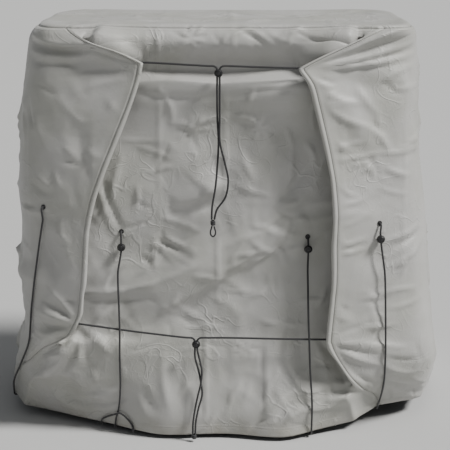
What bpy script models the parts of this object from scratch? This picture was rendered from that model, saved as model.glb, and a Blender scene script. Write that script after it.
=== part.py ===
"""A fitted cloth cover that hides a poolside heater, cinched across the front by two drawcords.

The cover is worked out in the heater's own space: x runs to the viewer's right, y back from the
heater's front, and height up from the ground. An empty then carries everything so that the origin
lies under the middle of the top, where the heater holds the cover up.
"""

import math
from collections import namedtuple

import bmesh
import bpy
from mathutils import Vector
from mathutils.bvhtree import BVHTree
from mathutils.geometry import delaunay_2d_cdt

# Driving sizes of the cover, in metres
HEIGHT = 1.0
DEPTH = 0.62
CLOTH = 0.002
SEAM_GAP = 0.0010
EDGE_REACH = 0.012
EDGE_RADIUS = 0.005
PLEAT_DEPTH = 0.016
TOP_ROUND_LEFT = 0.045
TOP_ROUND_RIGHT = 0.032
TOP_SEAM = 0.992
HEM_LIFT_REACH = 0.22
LEFT_TIP_LOW = 0.296
LEFT_TIP_HIGH = 0.918
RIGHT_TIP_LOW = 0.257
RIGHT_TIP_HIGH = 0.905

# Sizes of the cords and of what is on them
CORD = 0.005
CORD_GAP = 0.0013
CORD_STEP = 0.015
CORD_TURN = 0.40
TOGGLE = 0.020
TOGGLE_BORE = 0.0068
TOGGLE_SLOT = 0.0130
STRAND_SIDE = 0.0029
BEND = 0.010
KNOT_LENGTH = 0.015
KNOT_WIDTH = 0.0125
EYELET = 0.012
EYELET_HOLE = 0.0066
EYELET_THICK = 0.0026

# Each front corner by height: the flap's edge and the deep fold of the pleat behind it, as distances
# from the middle, the corner of the box, and how far the corner turns in towards the front
Corner = namedtuple("Corner", "height edge edge_y pleat pleat_y corner corner_y turn")
LEFT_CORNER = [
    Corner(0.000, 0.548, 0.235, 0.505, 0.150, 0.556, 0.330, 0.000),
    Corner(0.075, 0.540, 0.205, 0.490, 0.120, 0.550, 0.290, 0.000),
    Corner(0.116, 0.528, 0.165, 0.470, 0.085, 0.543, 0.240, 0.002),
    Corner(0.148, 0.490, 0.110, 0.430, 0.040, 0.530, 0.170, 0.010),
    Corner(0.220, 0.428, 0.022, 0.385, 0.004, 0.499, 0.062, 0.028),
    Corner(0.245, 0.392, -0.008, 0.405, 0.004, 0.493, 0.040, 0.032),
    Corner(0.268, 0.362, -0.026, 0.415, 0.000, 0.490, 0.034, 0.034),
    Corner(0.296, 0.346, -0.038, 0.418, -0.004, 0.494, 0.030, 0.035),
    Corner(0.326, 0.333, -0.038, 0.412, -0.002, 0.496, 0.030, 0.035),
    Corner(0.373, 0.328, -0.040, 0.405, 0.000, 0.500, 0.030, 0.035),
    Corner(0.397, 0.323, -0.041, 0.402, 0.000, 0.507, 0.030, 0.035),
    Corner(0.443, 0.319, -0.042, 0.400, 0.000, 0.493, 0.030, 0.035),
    Corner(0.513, 0.314, -0.044, 0.395, 0.000, 0.490, 0.030, 0.035),
    Corner(0.593, 0.298, -0.046, 0.384, -0.002, 0.493, 0.030, 0.035),
    Corner(0.667, 0.272, -0.048, 0.371, -0.004, 0.487, 0.030, 0.035),
    Corner(0.742, 0.241, -0.048, 0.355, -0.006, 0.482, 0.030, 0.036),
    Corner(0.800, 0.217, -0.048, 0.345, -0.008, 0.477, 0.030, 0.038),
    Corner(0.845, 0.200, -0.046, 0.335, -0.010, 0.472, 0.030, 0.040),
    Corner(0.891, 0.186, -0.044, 0.324, -0.010, 0.467, 0.032, 0.042),
    Corner(0.918, 0.181, -0.042, 0.322, -0.008, 0.464, 0.034, 0.045),
    Corner(0.941, 0.234, -0.034, 0.326, -0.002, 0.461, 0.036, 0.048),
    Corner(0.961, 0.297, -0.024, 0.330, 0.000, 0.458, 0.034, 0.044),
    Corner(0.980, 0.342, -0.006, 0.318, 0.002, 0.456, 0.026, 0.034),
    Corner(1.000, 0.380, 0.000, 0.325, 0.000, 0.455, 0.018, 0.022),
]
RIGHT_CORNER = [
    Corner(0.000, 0.386, 0.110, 0.325, 0.045, 0.526, 0.165, 0.030),
    Corner(0.058, 0.368, 0.075, 0.312, 0.015, 0.532, 0.135, 0.030),
    Corner(0.094, 0.343, 0.030, 0.302, -0.008, 0.534, 0.105, 0.032),
    Corner(0.115, 0.328, 0.004, 0.304, 0.004, 0.535, 0.092, 0.033),
    Corner(0.150, 0.303, -0.022, 0.332, 0.004, 0.536, 0.074, 0.034),
    Corner(0.186, 0.280, -0.032, 0.360, -0.004, 0.532, 0.055, 0.035),
    Corner(0.237, 0.252, -0.044, 0.382, -0.006, 0.521, 0.040, 0.035),
    Corner(0.257, 0.245, -0.046, 0.387, -0.006, 0.517, 0.036, 0.035),
    Corner(0.311, 0.249, -0.046, 0.386, -0.006, 0.510, 0.032, 0.035),
    Corner(0.360, 0.253, -0.048, 0.384, -0.005, 0.505, 0.030, 0.035),
    Corner(0.409, 0.256, -0.050, 0.382, -0.004, 0.501, 0.030, 0.035),
    Corner(0.494, 0.254, -0.054, 0.378, -0.004, 0.493, 0.030, 0.035),
    Corner(0.551, 0.256, -0.056, 0.374, -0.004, 0.488, 0.030, 0.035),
    Corner(0.637, 0.250, -0.054, 0.364, -0.005, 0.479, 0.030, 0.035),
    Corner(0.684, 0.242, -0.052, 0.356, -0.006, 0.473, 0.030, 0.036),
    Corner(0.744, 0.228, -0.050, 0.348, -0.008, 0.469, 0.030, 0.036),
    Corner(0.823, 0.208, -0.048, 0.338, -0.010, 0.466, 0.030, 0.038),
    Corner(0.866, 0.196, -0.047, 0.330, -0.010, 0.463, 0.030, 0.040),
    Corner(0.905, 0.170, -0.046, 0.322, -0.008, 0.459, 0.032, 0.042),
    Corner(0.930, 0.221, -0.036, 0.328, -0.002, 0.457, 0.034, 0.044),
    Corner(0.950, 0.267, -0.026, 0.332, 0.000, 0.456, 0.032, 0.042),
    Corner(0.978, 0.332, -0.010, 0.322, 0.000, 0.455, 0.024, 0.032),
    Corner(1.000, 0.390, 0.000, 0.340, 0.000, 0.454, 0.016, 0.020),
]

# How far back the slack middle of the front lies, by height: at the left, the centre and the right
Middle = namedtuple("Middle", "height left centre right")
MIDDLE = [
    Middle(0.000, -0.008, -0.008, -0.026),
    Middle(0.050, -0.014, -0.014, -0.028),
    Middle(0.120, -0.010, -0.010, -0.014),
    Middle(0.220, 0.004, 0.002, 0.004),
    Middle(0.280, 0.010, 0.009, 0.009),
    Middle(0.420, 0.006, 0.004, 0.007),
    Middle(0.620, 0.006, 0.004, 0.007),
    Middle(0.740, 0.012, 0.012, 0.010),
    Middle(0.800, 0.006, 0.006, 0.002),
    Middle(0.830, -0.002, -0.005, -0.012),
    Middle(0.856, -0.006, -0.010, -0.020),
    Middle(0.868, -0.003, -0.006, -0.015),
    Middle(0.880, 0.018, 0.016, 0.010),
    Middle(0.893, 0.034, 0.036, 0.034),
    Middle(0.912, 0.032, 0.034, 0.032),
    Middle(0.935, 0.014, 0.014, 0.014),
    Middle(0.960, 0.002, 0.000, 0.002),
    Middle(1.000, 0.000, 0.000, 0.000),
]

# The other walls by height: both sides half-way back, the rear corners and the rear wall
Wall = namedtuple("Wall", "height left right left_rear right_rear rear")
WALLS = [
    Wall(0.000, 0.562, 0.552, 0.515, 0.515, 0.655),
    Wall(0.120, 0.546, 0.546, 0.505, 0.505, 0.645),
    Wall(0.300, 0.505, 0.524, 0.492, 0.495, 0.637),
    Wall(0.500, 0.500, 0.504, 0.480, 0.482, 0.633),
    Wall(0.750, 0.486, 0.482, 0.466, 0.466, 0.626),
    Wall(0.930, 0.468, 0.466, 0.455, 0.455, 0.621),
    Wall(1.000, 0.460, 0.460, 0.452, 0.452, 0.620),
]

# Places round half a section, from the middle of the rear to the middle of the front: how many
# columns of the cloth follow each one, and how far its hem is lifted off the ground
Place = namedtuple("Place", "name columns lift")
PLACES = [
    Place("rear", 1, 0.004),
    Place("rear_half", 2, 0.004),
    Place("rear_seam", 2, 0.006),
    Place("rear_corner", 2, 0.010),
    Place("side", 3, 0.030),
    Place("corner", 2, 0.045),
    Place("corner_turn", 2, 0.045),
    Place("flap", 2, 0.044),
    Place("seam", 1, 0.042),
    Place("lip", 1, 0.041),
    Place("edge", 1, 0.040),
    Place("return", 1, 0.037),
    Place("tuck", 1, 0.034),
    Place("pleat_in", 1, 0.031),
    Place("pleat", 1, 0.028),
    Place("pleat_out", 2, 0.024),
    Place("panel_edge", 3, 0.017),
    Place("quarter", 4, 0.012),
]

# Heights of the cloth's rows of points, from the hem to the top seam
ROWS = [
    0.000, 0.035, 0.075, 0.115, 0.133, 0.150, 0.190, 0.225, 0.257, 0.296, 0.345, 0.397, 0.450, 0.510,
    0.570, 0.640, 0.700, 0.760, 0.810, 0.840, 0.858, 0.872, 0.890, 0.905, 0.918, 0.936, 0.956, 0.973,
    0.984, TOP_SEAM,
]

# Main folds in the cloth, each a soft ridge, or a trough where its rise is negative, between two
# points of a face: across it, in x or along the depth, and up it
Fold = namedtuple("Fold", "across_1 height_1 across_2 height_2 width rise")
MIDDLE_FOLDS = [
    Fold(-0.230, 0.330, 0.200, 0.545, 0.050, 0.015),
    Fold(-0.200, 0.285, 0.240, 0.470, 0.040, -0.008),
    Fold(-0.250, 0.430, 0.020, 0.540, 0.040, -0.007),
    Fold(-0.120, 0.585, 0.000, 0.640, 0.022, 0.010),
    Fold(-0.130, 0.560, 0.010, 0.605, 0.022, -0.007),
    Fold(-0.260, 0.205, -0.080, 0.270, 0.026, 0.009),
    Fold(0.060, 0.780, 0.170, 0.640, 0.034, 0.007),
    Fold(-0.170, 0.760, -0.060, 0.640, 0.034, 0.006),
    Fold(-0.030, 0.700, 0.060, 0.560, 0.030, -0.006),
    Fold(-0.330, 0.170, -0.270, 0.020, 0.030, 0.012),
    Fold(-0.400, 0.150, -0.360, 0.030, 0.026, -0.010),
    Fold(0.240, 0.180, 0.190, 0.030, 0.030, 0.010),
    Fold(0.060, 0.200, 0.100, 0.040, 0.035, -0.006),
]
LEFT_FLAP_FOLDS = [
    Fold(-0.350, 0.300, -0.500, 0.345, 0.020, 0.010),
    Fold(-0.350, 0.292, -0.480, 0.230, 0.020, 0.008),
    Fold(-0.200, 0.912, -0.420, 0.900, 0.026, -0.006),
    Fold(-0.400, 0.840, -0.360, 0.560, 0.040, 0.006),
    Fold(-0.430, 0.560, -0.400, 0.360, 0.035, -0.006),
]
RIGHT_FLAP_FOLDS = [
    Fold(0.190, 0.905, 0.450, 0.925, 0.018, 0.008),
    Fold(0.200, 0.890, 0.440, 0.840, 0.024, -0.007),
    Fold(0.210, 0.860, 0.400, 0.690, 0.026, 0.008),
    Fold(0.260, 0.262, 0.480, 0.330, 0.022, 0.009),
    Fold(0.260, 0.255, 0.500, 0.190, 0.024, 0.009),
    Fold(0.300, 0.470, 0.480, 0.420, 0.030, -0.007),
]
SIDE_FOLDS = [
    Fold(0.080, 0.400, 0.400, 0.330, 0.035, 0.008),
    Fold(0.150, 0.860, 0.500, 0.600, 0.050, -0.007),
    Fold(0.200, 0.300, 0.550, 0.120, 0.045, -0.009),
    Fold(0.330, 0.620, 0.420, 0.200, 0.050, 0.008),
]
REAR_FOLDS = [
    Fold(-0.300, 0.800, 0.100, 0.300, 0.060, 0.008),
    Fold(0.300, 0.850, 0.200, 0.150, 0.060, -0.007),
    Fold(-0.380, 0.500, -0.340, 0.050, 0.050, 0.008),
]
TOP_FOLDS = [
    Fold(-0.300, 0.120, 0.050, 0.480, 0.060, -0.005),
    Fold(0.100, 0.100, 0.350, 0.420, 0.060, 0.004),
]

# The routes of the cords, as the viewer sees them: across, height, and how far off the cloth
Stop = namedtuple("Stop", "x height off")


def smooth(t):
    """Zero below 0, one above 1, eased between."""
    t = max(0.0, min(1.0, t))
    return t * t * (3.0 - 2.0 * t)


def slopes(rows, column, i, breaks):
    """The eased slope of a table's column at row i, seen from below and from above."""
    def secant(k):
        return (rows[k + 1][column] - rows[k][column]) / (rows[k + 1].height - rows[k].height)

    if i == 0:
        return secant(0), secant(0)
    if i == len(rows) - 1:
        return secant(i - 1), secant(i - 1)
    before, after = secant(i - 1), secant(i)
    if rows[i].height in breaks:
        return before, after
    if before * after <= 0.0:
        return 0.0, 0.0
    mean = 2.0 * before * after / (before + after)
    return mean, mean


def ease(rows, height, breaks=()):
    """A table read at any height: eased from row to row, with a corner at each break."""
    height = max(rows[0].height, min(rows[-1].height, height))
    i = max(k for k in range(len(rows) - 1) if rows[k].height <= height)
    step = rows[i + 1].height - rows[i].height
    t = (height - rows[i].height) / step
    values = [height]
    for column in range(1, len(rows[0])):
        start, end = rows[i][column], rows[i + 1][column]
        out = slopes(rows, column, i, breaks)[1] * step
        into = slopes(rows, column, i + 1, breaks)[0] * step
        values.append(
            start * (1 + 2 * t) * (1 - t) ** 2 + out * t * (1 - t) ** 2
            + end * t * t * (3 - 2 * t) + into * t * t * (t - 1)
        )
    return type(rows[0])(*values)


def half_section(height, corner, side, rear_corner, rear, quarter):
    """The places of one half section, as distance from the middle and depth, rear first."""
    overlap = corner.pleat - corner.edge
    inner = max(-EDGE_REACH, min(EDGE_REACH, overlap * 0.3))
    share = inner / overlap if abs(overlap) > 1e-6 else 0.3
    radius = EDGE_RADIUS * smooth(overlap / 0.03)
    wall_start = corner.corner_y + 0.07
    turned = Vector((corner.corner - corner.turn, corner.corner_y))
    edge = Vector((corner.edge, corner.edge_y))
    outward = (turned - edge).normalized() * EDGE_REACH
    seam = edge + outward
    flap = turned.lerp(seam, 0.5) + Vector((0.0, -0.004))
    flap_share = max(0.0, min(1.0, (corner.pleat - seam.x) / max(turned.x - seam.x, 0.001)))
    behind_flap = seam.y + (turned.y - seam.y) * flap_share + PLEAT_DEPTH
    pleat_y = corner.pleat_y + max(0.0, behind_flap - corner.pleat_y) * smooth(overlap / 0.03)
    radius = min(radius, max(0.0, pleat_y - corner.edge_y) / 4)
    rise = pleat_y - corner.edge_y - 3 * radius
    back = Vector((corner.edge + inner, corner.edge_y + 2 * radius + rise * share))
    pleat_in = Vector((corner.pleat - inner, pleat_y - radius - rise * share))
    pleat_out = Vector((corner.pleat - EDGE_REACH, pleat_y + radius))
    middle = Vector((0.15, quarter))
    return [
        Vector((0.0, rear)),
        Vector((rear_corner * 0.5, rear)),
        Vector((rear_corner - 0.045, rear - 0.004)),
        Vector((rear_corner, rear - 0.050)),
        Vector((side, (wall_start + rear - 0.050) / 2)),
        Vector((corner.corner, wall_start)),
        turned,
        flap,
        seam,
        edge + outward * 0.3,
        Vector((corner.edge, corner.edge_y + radius)),
        back,
        back.lerp(pleat_in, 0.5),
        pleat_in,
        Vector((corner.pleat, pleat_y)),
        pleat_out,
        pleat_out.lerp(middle, 0.5) + Vector((0.0, 0.002)),
        middle,
    ]


def section(height):
    """The cover's outline at a height: places round the whole of it, from the rear by the left."""
    wall = ease(WALLS, height)
    middle = ease(MIDDLE, height)
    left = ease(LEFT_CORNER, height, (LEFT_TIP_LOW, LEFT_TIP_HIGH))
    right = ease(RIGHT_CORNER, height, (RIGHT_TIP_LOW, RIGHT_TIP_HIGH))
    one = half_section(height, left, wall.left, wall.left_rear, wall.rear, middle.left)
    two = half_section(height, right, wall.right, wall.right_rear, wall.rear, middle.right)
    return [Vector((-p.x, p.y)) for p in one] + [Vector((0.0, middle.centre))] + two[:0:-1]


def through(p0, p1, p2, p3, t):
    """A point between p1 and p2 on a smooth curve that neither loops nor overshoots."""
    knots = [0.0]
    for a, b in ((p0, p1), (p1, p2), (p2, p3)):
        knots.append(knots[-1] + max((b - a).length, 1e-5) ** 0.5)
    k0, k1, k2, k3 = knots
    k = k1 + (k2 - k1) * t
    a1 = p0.lerp(p1, (k - k0) / (k1 - k0))
    a2 = p1.lerp(p2, (k - k1) / (k2 - k1))
    a3 = p2.lerp(p3, (k - k2) / (k3 - k2))
    b1 = a1.lerp(a2, (k - k0) / (k2 - k0))
    b2 = a2.lerp(a3, (k - k1) / (k3 - k1))
    return b1.lerp(b2, (k - k1) / (k2 - k1))


def whole_places():
    """The places round the whole cover in the order of a section, each with its side."""
    left = [(place.name, -1, place.columns, place.lift) for place in PLACES]
    right = []
    for i in range(len(PLACES) - 1, 0, -1):
        right.append((PLACES[i].name, 1, PLACES[i - 1].columns, PLACES[i].lift))
    centre = ("centre", 0, PLACES[-1].columns, PLACES[-1].lift)
    return left + [centre] + right


ROUND = whole_places()


def column_of(name, side):
    """The number of the column that stands at a place."""
    count = 0
    for place, place_side, columns, _ in ROUND:
        if (place, place_side) == (name, side):
            return count
        count += columns
    raise ValueError(name)


def fold_rise(folds, across, height):
    """How far a face's folds lift the cloth at a point of it."""
    total = 0.0
    for fold in folds:
        run, climb = fold.across_2 - fold.across_1, fold.height_2 - fold.height_1
        length = math.hypot(run, climb)
        along = ((across - fold.across_1) * run + (height - fold.height_1) * climb) / length ** 2
        if 0.0 < along < 1.0:
            aside = ((across - fold.across_1) * climb - (height - fold.height_1) * run) / length
            taper = math.sin(math.pi * along) ** 0.6
            total += fold.rise * taper * math.exp(-((aside / fold.width) ** 2))
    return total


def crumple(column, point, height):
    """A point of the section moved by the folds of its face, fading out at the face's ends."""
    def weight(first, last):
        within = min(column - first, last - column)
        return smooth(within / 2.0) if within > 0 else 0.0

    middle = weight(column_of("pleat_out", -1), column_of("pleat_out", 1))
    left = weight(column_of("corner_turn", -1), column_of("seam", -1))
    right = weight(column_of("seam", 1), column_of("corner_turn", 1))
    left_side = weight(column_of("rear_corner", -1), column_of("corner", -1))
    right_side = weight(column_of("corner", 1), column_of("rear_corner", 1))
    moved = point.copy()
    moved.y -= middle * fold_rise(MIDDLE_FOLDS, point.x, height)
    moved.y -= left * fold_rise(LEFT_FLAP_FOLDS, point.x, height)
    moved.y -= right * fold_rise(RIGHT_FLAP_FOLDS, point.x, height)
    moved.x -= left_side * fold_rise(SIDE_FOLDS, point.y, height)
    moved.x += right_side * fold_rise(SIDE_FOLDS, DEPTH - point.y, height)
    if point.y > DEPTH - 0.03 and abs(point.x) < 0.42:
        moved.y += fold_rise(REAR_FOLDS, point.x, height)
    return moved


def ring(height):
    """One row of the cloth's points round the cover."""
    places = section(height)
    count = len(places)
    points = []
    for i, (_, _, columns, lift) in enumerate(ROUND):
        next_lift = ROUND[(i + 1) % count][3]
        corners = [places[(i + k) % count] for k in (-1, 0, 1, 2)]
        for k in range(columns):
            t = k / columns
            plan = crumple(len(points), through(*corners, t), height)
            low = max(0.0, 1.0 - height / HEM_LIFT_REACH) ** 2
            raised = height + (lift + (next_lift - lift) * t) * low
            points.append(rounded_top(plan, raised))
    return points


def rounded_top(plan, height):
    """A point of a wall, drawn in towards the top's rounded edge."""
    across = smooth(plan.x / 0.8 + 0.5)
    radius = TOP_ROUND_LEFT + (TOP_ROUND_RIGHT - TOP_ROUND_LEFT) * across
    over = max(0.0, height - (HEIGHT - radius))
    inset = radius - math.sqrt(max(0.0, radius ** 2 - over ** 2))
    middle = Vector((0.0, DEPTH / 2))
    drawn = Vector((plan.x * (1 - inset / 0.46), middle.y + (plan.y - middle.y) * (1 - inset / 0.31)))
    return Vector((drawn.x, drawn.y, height))


def drawn_in(border, inner, gap):
    """A border line of points moved in, square to itself, by half a gap."""
    moved = []
    for k, (p, q) in enumerate(zip(border, inner)):
        along = (border[min(k + 1, len(border) - 1)] - border[max(k - 1, 0)]).normalized()
        inward = (q - p) - along * (q - p).dot(along)
        moved.append(p + inward.normalized() * gap / 2)
    return moved


def material(name, colour, roughness, metallic=0.0):
    """A plain finish."""
    made = bpy.data.materials.new(name)
    made.use_nodes = True
    shader = made.node_tree.nodes["Principled BSDF"]
    shader.inputs["Base Color"].default_value = (*colour, 1.0)
    shader.inputs["Roughness"].default_value = roughness
    shader.inputs["Metallic"].default_value = metallic
    return made


def cloth_material(name):
    return material(name, (0.40, 0.39, 0.36), 0.55)


def cord_material(name):
    return material(name, (0.012, 0.012, 0.013), 0.7)


def toggle_material(name):
    return material(name, (0.015, 0.015, 0.016), 0.35)


def add_object(name, data, finish):
    """A named object in the cover's collection, carried by the empty."""
    made = bpy.data.objects.new(name, data)
    COVER.objects.link(made)
    made.parent = STAND
    data.materials.append(finish(name + "_finish"))
    return made


def add_cloth(name, mesh_maker):
    """A panel: an open sheet of cloth with its thickness added by Solidify."""
    mesh = bpy.data.meshes.new(name)
    bm = bmesh.new()
    mesh_maker(bm)
    bmesh.ops.recalc_face_normals(bm, faces=bm.faces)
    for face in bm.faces:
        face.smooth = True
    bm.to_mesh(mesh)
    bm.free()
    panel = add_object(name, mesh, cloth_material)
    solid = panel.modifiers.new("thickness", "SOLIDIFY")
    solid.thickness = CLOTH
    solid.offset = 0.0
    return panel


def wall_panel(name, rings, first, last):
    """A panel of wall between two seams, from the hem to the top seam."""
    count = len(rings[0])
    span = (last - first) % count
    columns = [[row[(first + k) % count] for row in rings] for k in range(span + 1)]
    columns[0] = drawn_in(columns[0], columns[1], SEAM_GAP)
    columns[-1] = drawn_in(columns[-1], columns[-2], SEAM_GAP)
    rows = [list(row) for row in zip(*columns)]
    rows[-1] = drawn_in(rows[-1], rows[-2], SEAM_GAP)

    def fill(bm):
        grid = [[bm.verts.new(p) for p in row] for row in rows]
        for a, b in zip(grid, grid[1:]):
            for k in range(len(a) - 1):
                bm.faces.new((a[k], a[k + 1], b[k + 1], b[k]))

    return add_cloth(name, fill)


def top_height(x, y, border):
    """The height of the top sheet, level but for a few soft folds and a fall to the rear right."""
    fall = 0.010 * (y / DEPTH) * smooth(x / 0.8 + 0.5)
    inside = smooth(border / 0.10)
    return HEIGHT - fall * inside + fold_rise(TOP_FOLDS, x, y) * inside


def top_panel(name, rim):
    """The top sheet: its rim follows the walls' top row, and its inside is nearly level."""
    middle = Vector((0.0, DEPTH / 2))
    plan = [Vector((p.x, p.y)) for p in rim]
    outer = []
    for k, p in enumerate(rim):
        along = rim[(k + 1) % len(rim)] - rim[k - 1]
        inward = Vector((-along.y, along.x)).normalized() * SEAM_GAP / 2
        inward *= math.copysign(1.0, inward.dot(middle - plan[k]))
        outer.append(Vector((p.x + inward.x, p.y + inward.y, p.z + SEAM_GAP / 4)))
    points = []
    for shrink, skip in ((0.03, 1), (0.09, 2), (0.20, 4), (0.40, 6), (0.65, 8), (0.88, 12)):
        points += [plan[k].lerp(middle, shrink) for k in range(0, len(rim), skip)]
    border = [(i, (i + 1) % len(rim)) for i in range(len(rim))]
    flat, _, faces, _, _, _ = delaunay_2d_cdt(points, border, [], 1, 1e-6)

    def fill(bm):
        sheet = []
        for p in flat:
            near = min((p - q).length for q in plan)
            sheet.append(bm.verts.new((p.x, p.y, top_height(p.x, p.y, near))))
        rim_verts = [bm.verts.new(p) for p in outer]
        for face in faces:
            bm.faces.new([sheet[i] for i in face])
        for k in range(len(rim)):
            after = (k + 1) % len(rim)
            bm.faces.new((rim_verts[k], rim_verts[after], sheet[after], sheet[k]))

    return add_cloth(name, fill)


def surface_of(objects):
    """What a ray can meet: the finished surfaces of some objects, in the cover's space."""
    graph = bpy.context.evaluated_depsgraph_get()
    points, faces = [], []
    for item in objects:
        mesh = bpy.data.meshes.new_from_object(item.evaluated_get(graph))
        start = len(points)
        points += [item.matrix_local @ v.co for v in mesh.vertices]
        faces += [tuple(start + i for i in polygon.vertices) for polygon in mesh.polygons]
        bpy.data.meshes.remove(mesh)
    return BVHTree.FromPolygons(points, faces)


def front_of(tree, x, height, radius):
    """The depth of whatever stands foremost within a small circle, or None past its edge."""
    found = []
    for eighth in range(9 if radius else 1):
        angle = math.radians(45 * eighth)
        reach = radius if eighth else 0.0
        start = Vector((x + math.cos(angle) * reach, -1.0, height + math.sin(angle) * reach))
        hit = tree.ray_cast(start, Vector((0.0, 1.0, 0.0)))[0]
        if hit is not None:
            found.append(hit.y)
    return min(found) if found else None


def curve_points(stops, step):
    """Points on a smooth curve through the stops: a step apart, and closer together in a bend."""
    ends = [stops[0] * 2 - stops[1]] + list(stops) + [stops[-1] * 2 - stops[-2]]
    fine = []
    for i in range(1, len(ends) - 2):
        count = max(4, int((ends[i + 1] - ends[i]).length / 0.0012))
        fine += [through(ends[i - 1], ends[i], ends[i + 1], ends[i + 2], k / count) for k in range(count)]
    fine.append(stops[-1].copy())
    points = [fine[0]]
    travelled, turned = 0.0, 0.0
    for before, here, after in zip(fine, fine[1:], fine[2:]):
        travelled += (here - before).length
        turned += (here - before).angle(after - here, 0.0)
        if travelled >= step or (turned > CORD_TURN and travelled >= step * 0.2):
            points.append(here)
            travelled, turned = 0.0, 0.0
    if (fine[-1] - points[-1]).length < step * 0.3 and len(points) > 1:
        points.pop()
    points.append(fine[-1])
    return points


def tight_over(touches):
    """Places along a cord pulled straight over its foremost places, as a taut string lies."""
    kept = []
    for s, y in touches:
        while len(kept) > 1:
            (s0, y0), (s1, y1) = kept[-2:]
            if (y1 - y0) * (s - s0) < (y - y0) * (s1 - s0):
                break
            kept.pop()
        kept.append((s, y))
    return kept


def laid(cloth, tree, stops):
    """A cord's middle line over whatever the tree holds, straight across the hollows between.

    It ends at the cloth's hem where the stops go below it.
    """
    flat = curve_points([Vector((stop.x, stop.height, stop.off)) for stop in stops], 0.004)
    away = CORD / 2 + CORD_GAP
    touches, last = [], None
    for i, p in enumerate(flat):
        seen = front_of(cloth, p.x, p.y, 0.0)
        if seen is None or (last is not None and seen > last + 0.05):
            break
        last = seen
        touches.append((i, front_of(tree, p.x, p.y, away) - away - p.z))
    string = tight_over(touches)
    line = []
    for i in range(touches[-1][0] + 1):
        k = 0
        while k < len(string) - 2 and string[k + 1][0] < i:
            k += 1
        (s0, y0), (s1, y1) = string[k], string[k + 1]
        line.append(Vector((flat[i].x, y0 + (y1 - y0) * (i - s0) / (s1 - s0), flat[i].y)))
    return line[:-1:3] + line[-1:]


def cloth_at(tree, x, height):
    """The point of the cloth's outer face seen at a place from the front, and the way it faces."""
    hit, normal, _, _ = tree.ray_cast(Vector((x, -1.0, height)), Vector((0.0, 1.0, 0.0)))
    return hit, normal if normal.y < 0 else -normal


def out_of_eyelet(tree, x, height):
    """A cord's first points: straight out of the cloth and over, on its way down."""
    hit, normal = cloth_at(tree, x, height)
    return [
        hit + normal * 0.0007,
        hit + normal * 0.0045 + Vector((0.0, 0.0, -0.0006)),
        hit + normal * 0.0080 + Vector((0.0, 0.0, -0.0040)),
    ]


def under_hem(tree, line, inward):
    """A cord's line carried on round under the hem and up against its inside."""
    end = line[-1].copy()
    front = front_of(tree, end.x, end.z, 0.0)
    while front_of(tree, end.x, end.z - 0.0005, 0.0) is not None:
        below = front_of(tree, end.x, end.z - 0.0005, 0.0)
        if below > front + 0.03:
            break
        front = below
        end.z -= 0.0005
    inward = Vector(inward).normalized()
    shape = ((0.0012, -0.0040), (0.0060, -0.0062), (0.0110, -0.0045), (0.0140, 0.0005), (0.0150, 0.0090))
    return line + [end + inward * away + Vector((0.0, 0.0, up)) for away, up in shape]


def add_tube(name, points, diameter, finish=cord_material):
    """A cord as a round tube with closed ends."""
    data = bpy.data.curves.new(name, "CURVE")
    data.dimensions = "3D"
    data.bevel_depth = diameter / 2
    data.bevel_resolution = 2
    data.use_fill_caps = True
    spline = data.splines.new("POLY")
    spline.points.add(len(points) - 1)
    for target, p in zip(spline.points, points):
        target.co = (*p, 1.0)
    return add_object(name, data, finish)


def at_height(points, height):
    """Where a cord passes a height on its way down, and its direction there."""
    for a, b in zip(points, points[1:]):
        if a.z >= height >= b.z and a.z > b.z:
            t = (a.z - height) / (a.z - b.z)
            return a.lerp(b, t), (b - a).normalized()
    raise ValueError("the cord does not pass that height")


def turn_to(item, direction):
    """Points an object's own Z along a direction."""
    item.rotation_mode = "QUATERNION"
    item.rotation_quaternion = Vector((0.0, 0.0, 1.0)).rotation_difference(direction)


def add_toggle(name, place, direction, slot):
    """A round toggle with a bore for one strand, or a slot for two, along the cord."""
    mesh = bpy.data.meshes.new(name)
    bm = bmesh.new()
    bmesh.ops.create_uvsphere(bm, u_segments=14, v_segments=8, radius=TOGGLE / 2)
    for vert in bm.verts:
        vert.co.z *= 0.95
    for face in bm.faces:
        face.smooth = True
    bm.to_mesh(mesh)
    bm.free()
    toggle = add_object(name, mesh, toggle_material)
    toggle.location = place
    turn_to(toggle, direction)

    cut = bpy.data.meshes.new(name + "_bore")
    bm = bmesh.new()
    bmesh.ops.create_cone(
        bm, cap_ends=True, segments=12, radius1=TOGGLE_BORE / 2, radius2=TOGGLE_BORE / 2, depth=TOGGLE * 1.3
    )
    for vert in bm.verts:
        vert.co.x += math.copysign((slot - TOGGLE_BORE) / 2, vert.co.x) if abs(vert.co.x) > 1e-5 else 0.0
    bm.to_mesh(cut)
    bm.free()
    cutter = bpy.data.objects.new(name + "_bore", cut)
    CUTTERS.objects.link(cutter)
    cutter.parent = toggle
    cutter.hide_render = True
    cutter.display_type = "WIRE"
    bore = toggle.modifiers.new("bore", "BOOLEAN")
    bore.operation = "DIFFERENCE"
    bore.object = cutter
    return toggle


def add_turned(name, profile, place, direction, finish, steps=12):
    """A turned piece: a closed profile of distances from its axis and heights, spun by Screw."""
    mesh = bpy.data.meshes.new(name)
    bm = bmesh.new()
    verts = [bm.verts.new((r, 0.0, z)) for r, z in profile]
    closed = profile[0][0] > 0
    for a, b in zip(verts, verts[1:] + (verts[:1] if closed else [])):
        bm.edges.new((a, b))
    bm.to_mesh(mesh)
    bm.free()
    turned = add_object(name, mesh, finish)
    turned.location = place
    turn_to(turned, direction)
    screw = turned.modifiers.new("turn", "SCREW")
    screw.steps = steps
    screw.render_steps = steps
    screw.use_merge_vertices = True
    screw.merge_threshold = 0.00001
    screw.use_smooth_shade = True
    return turned


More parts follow.
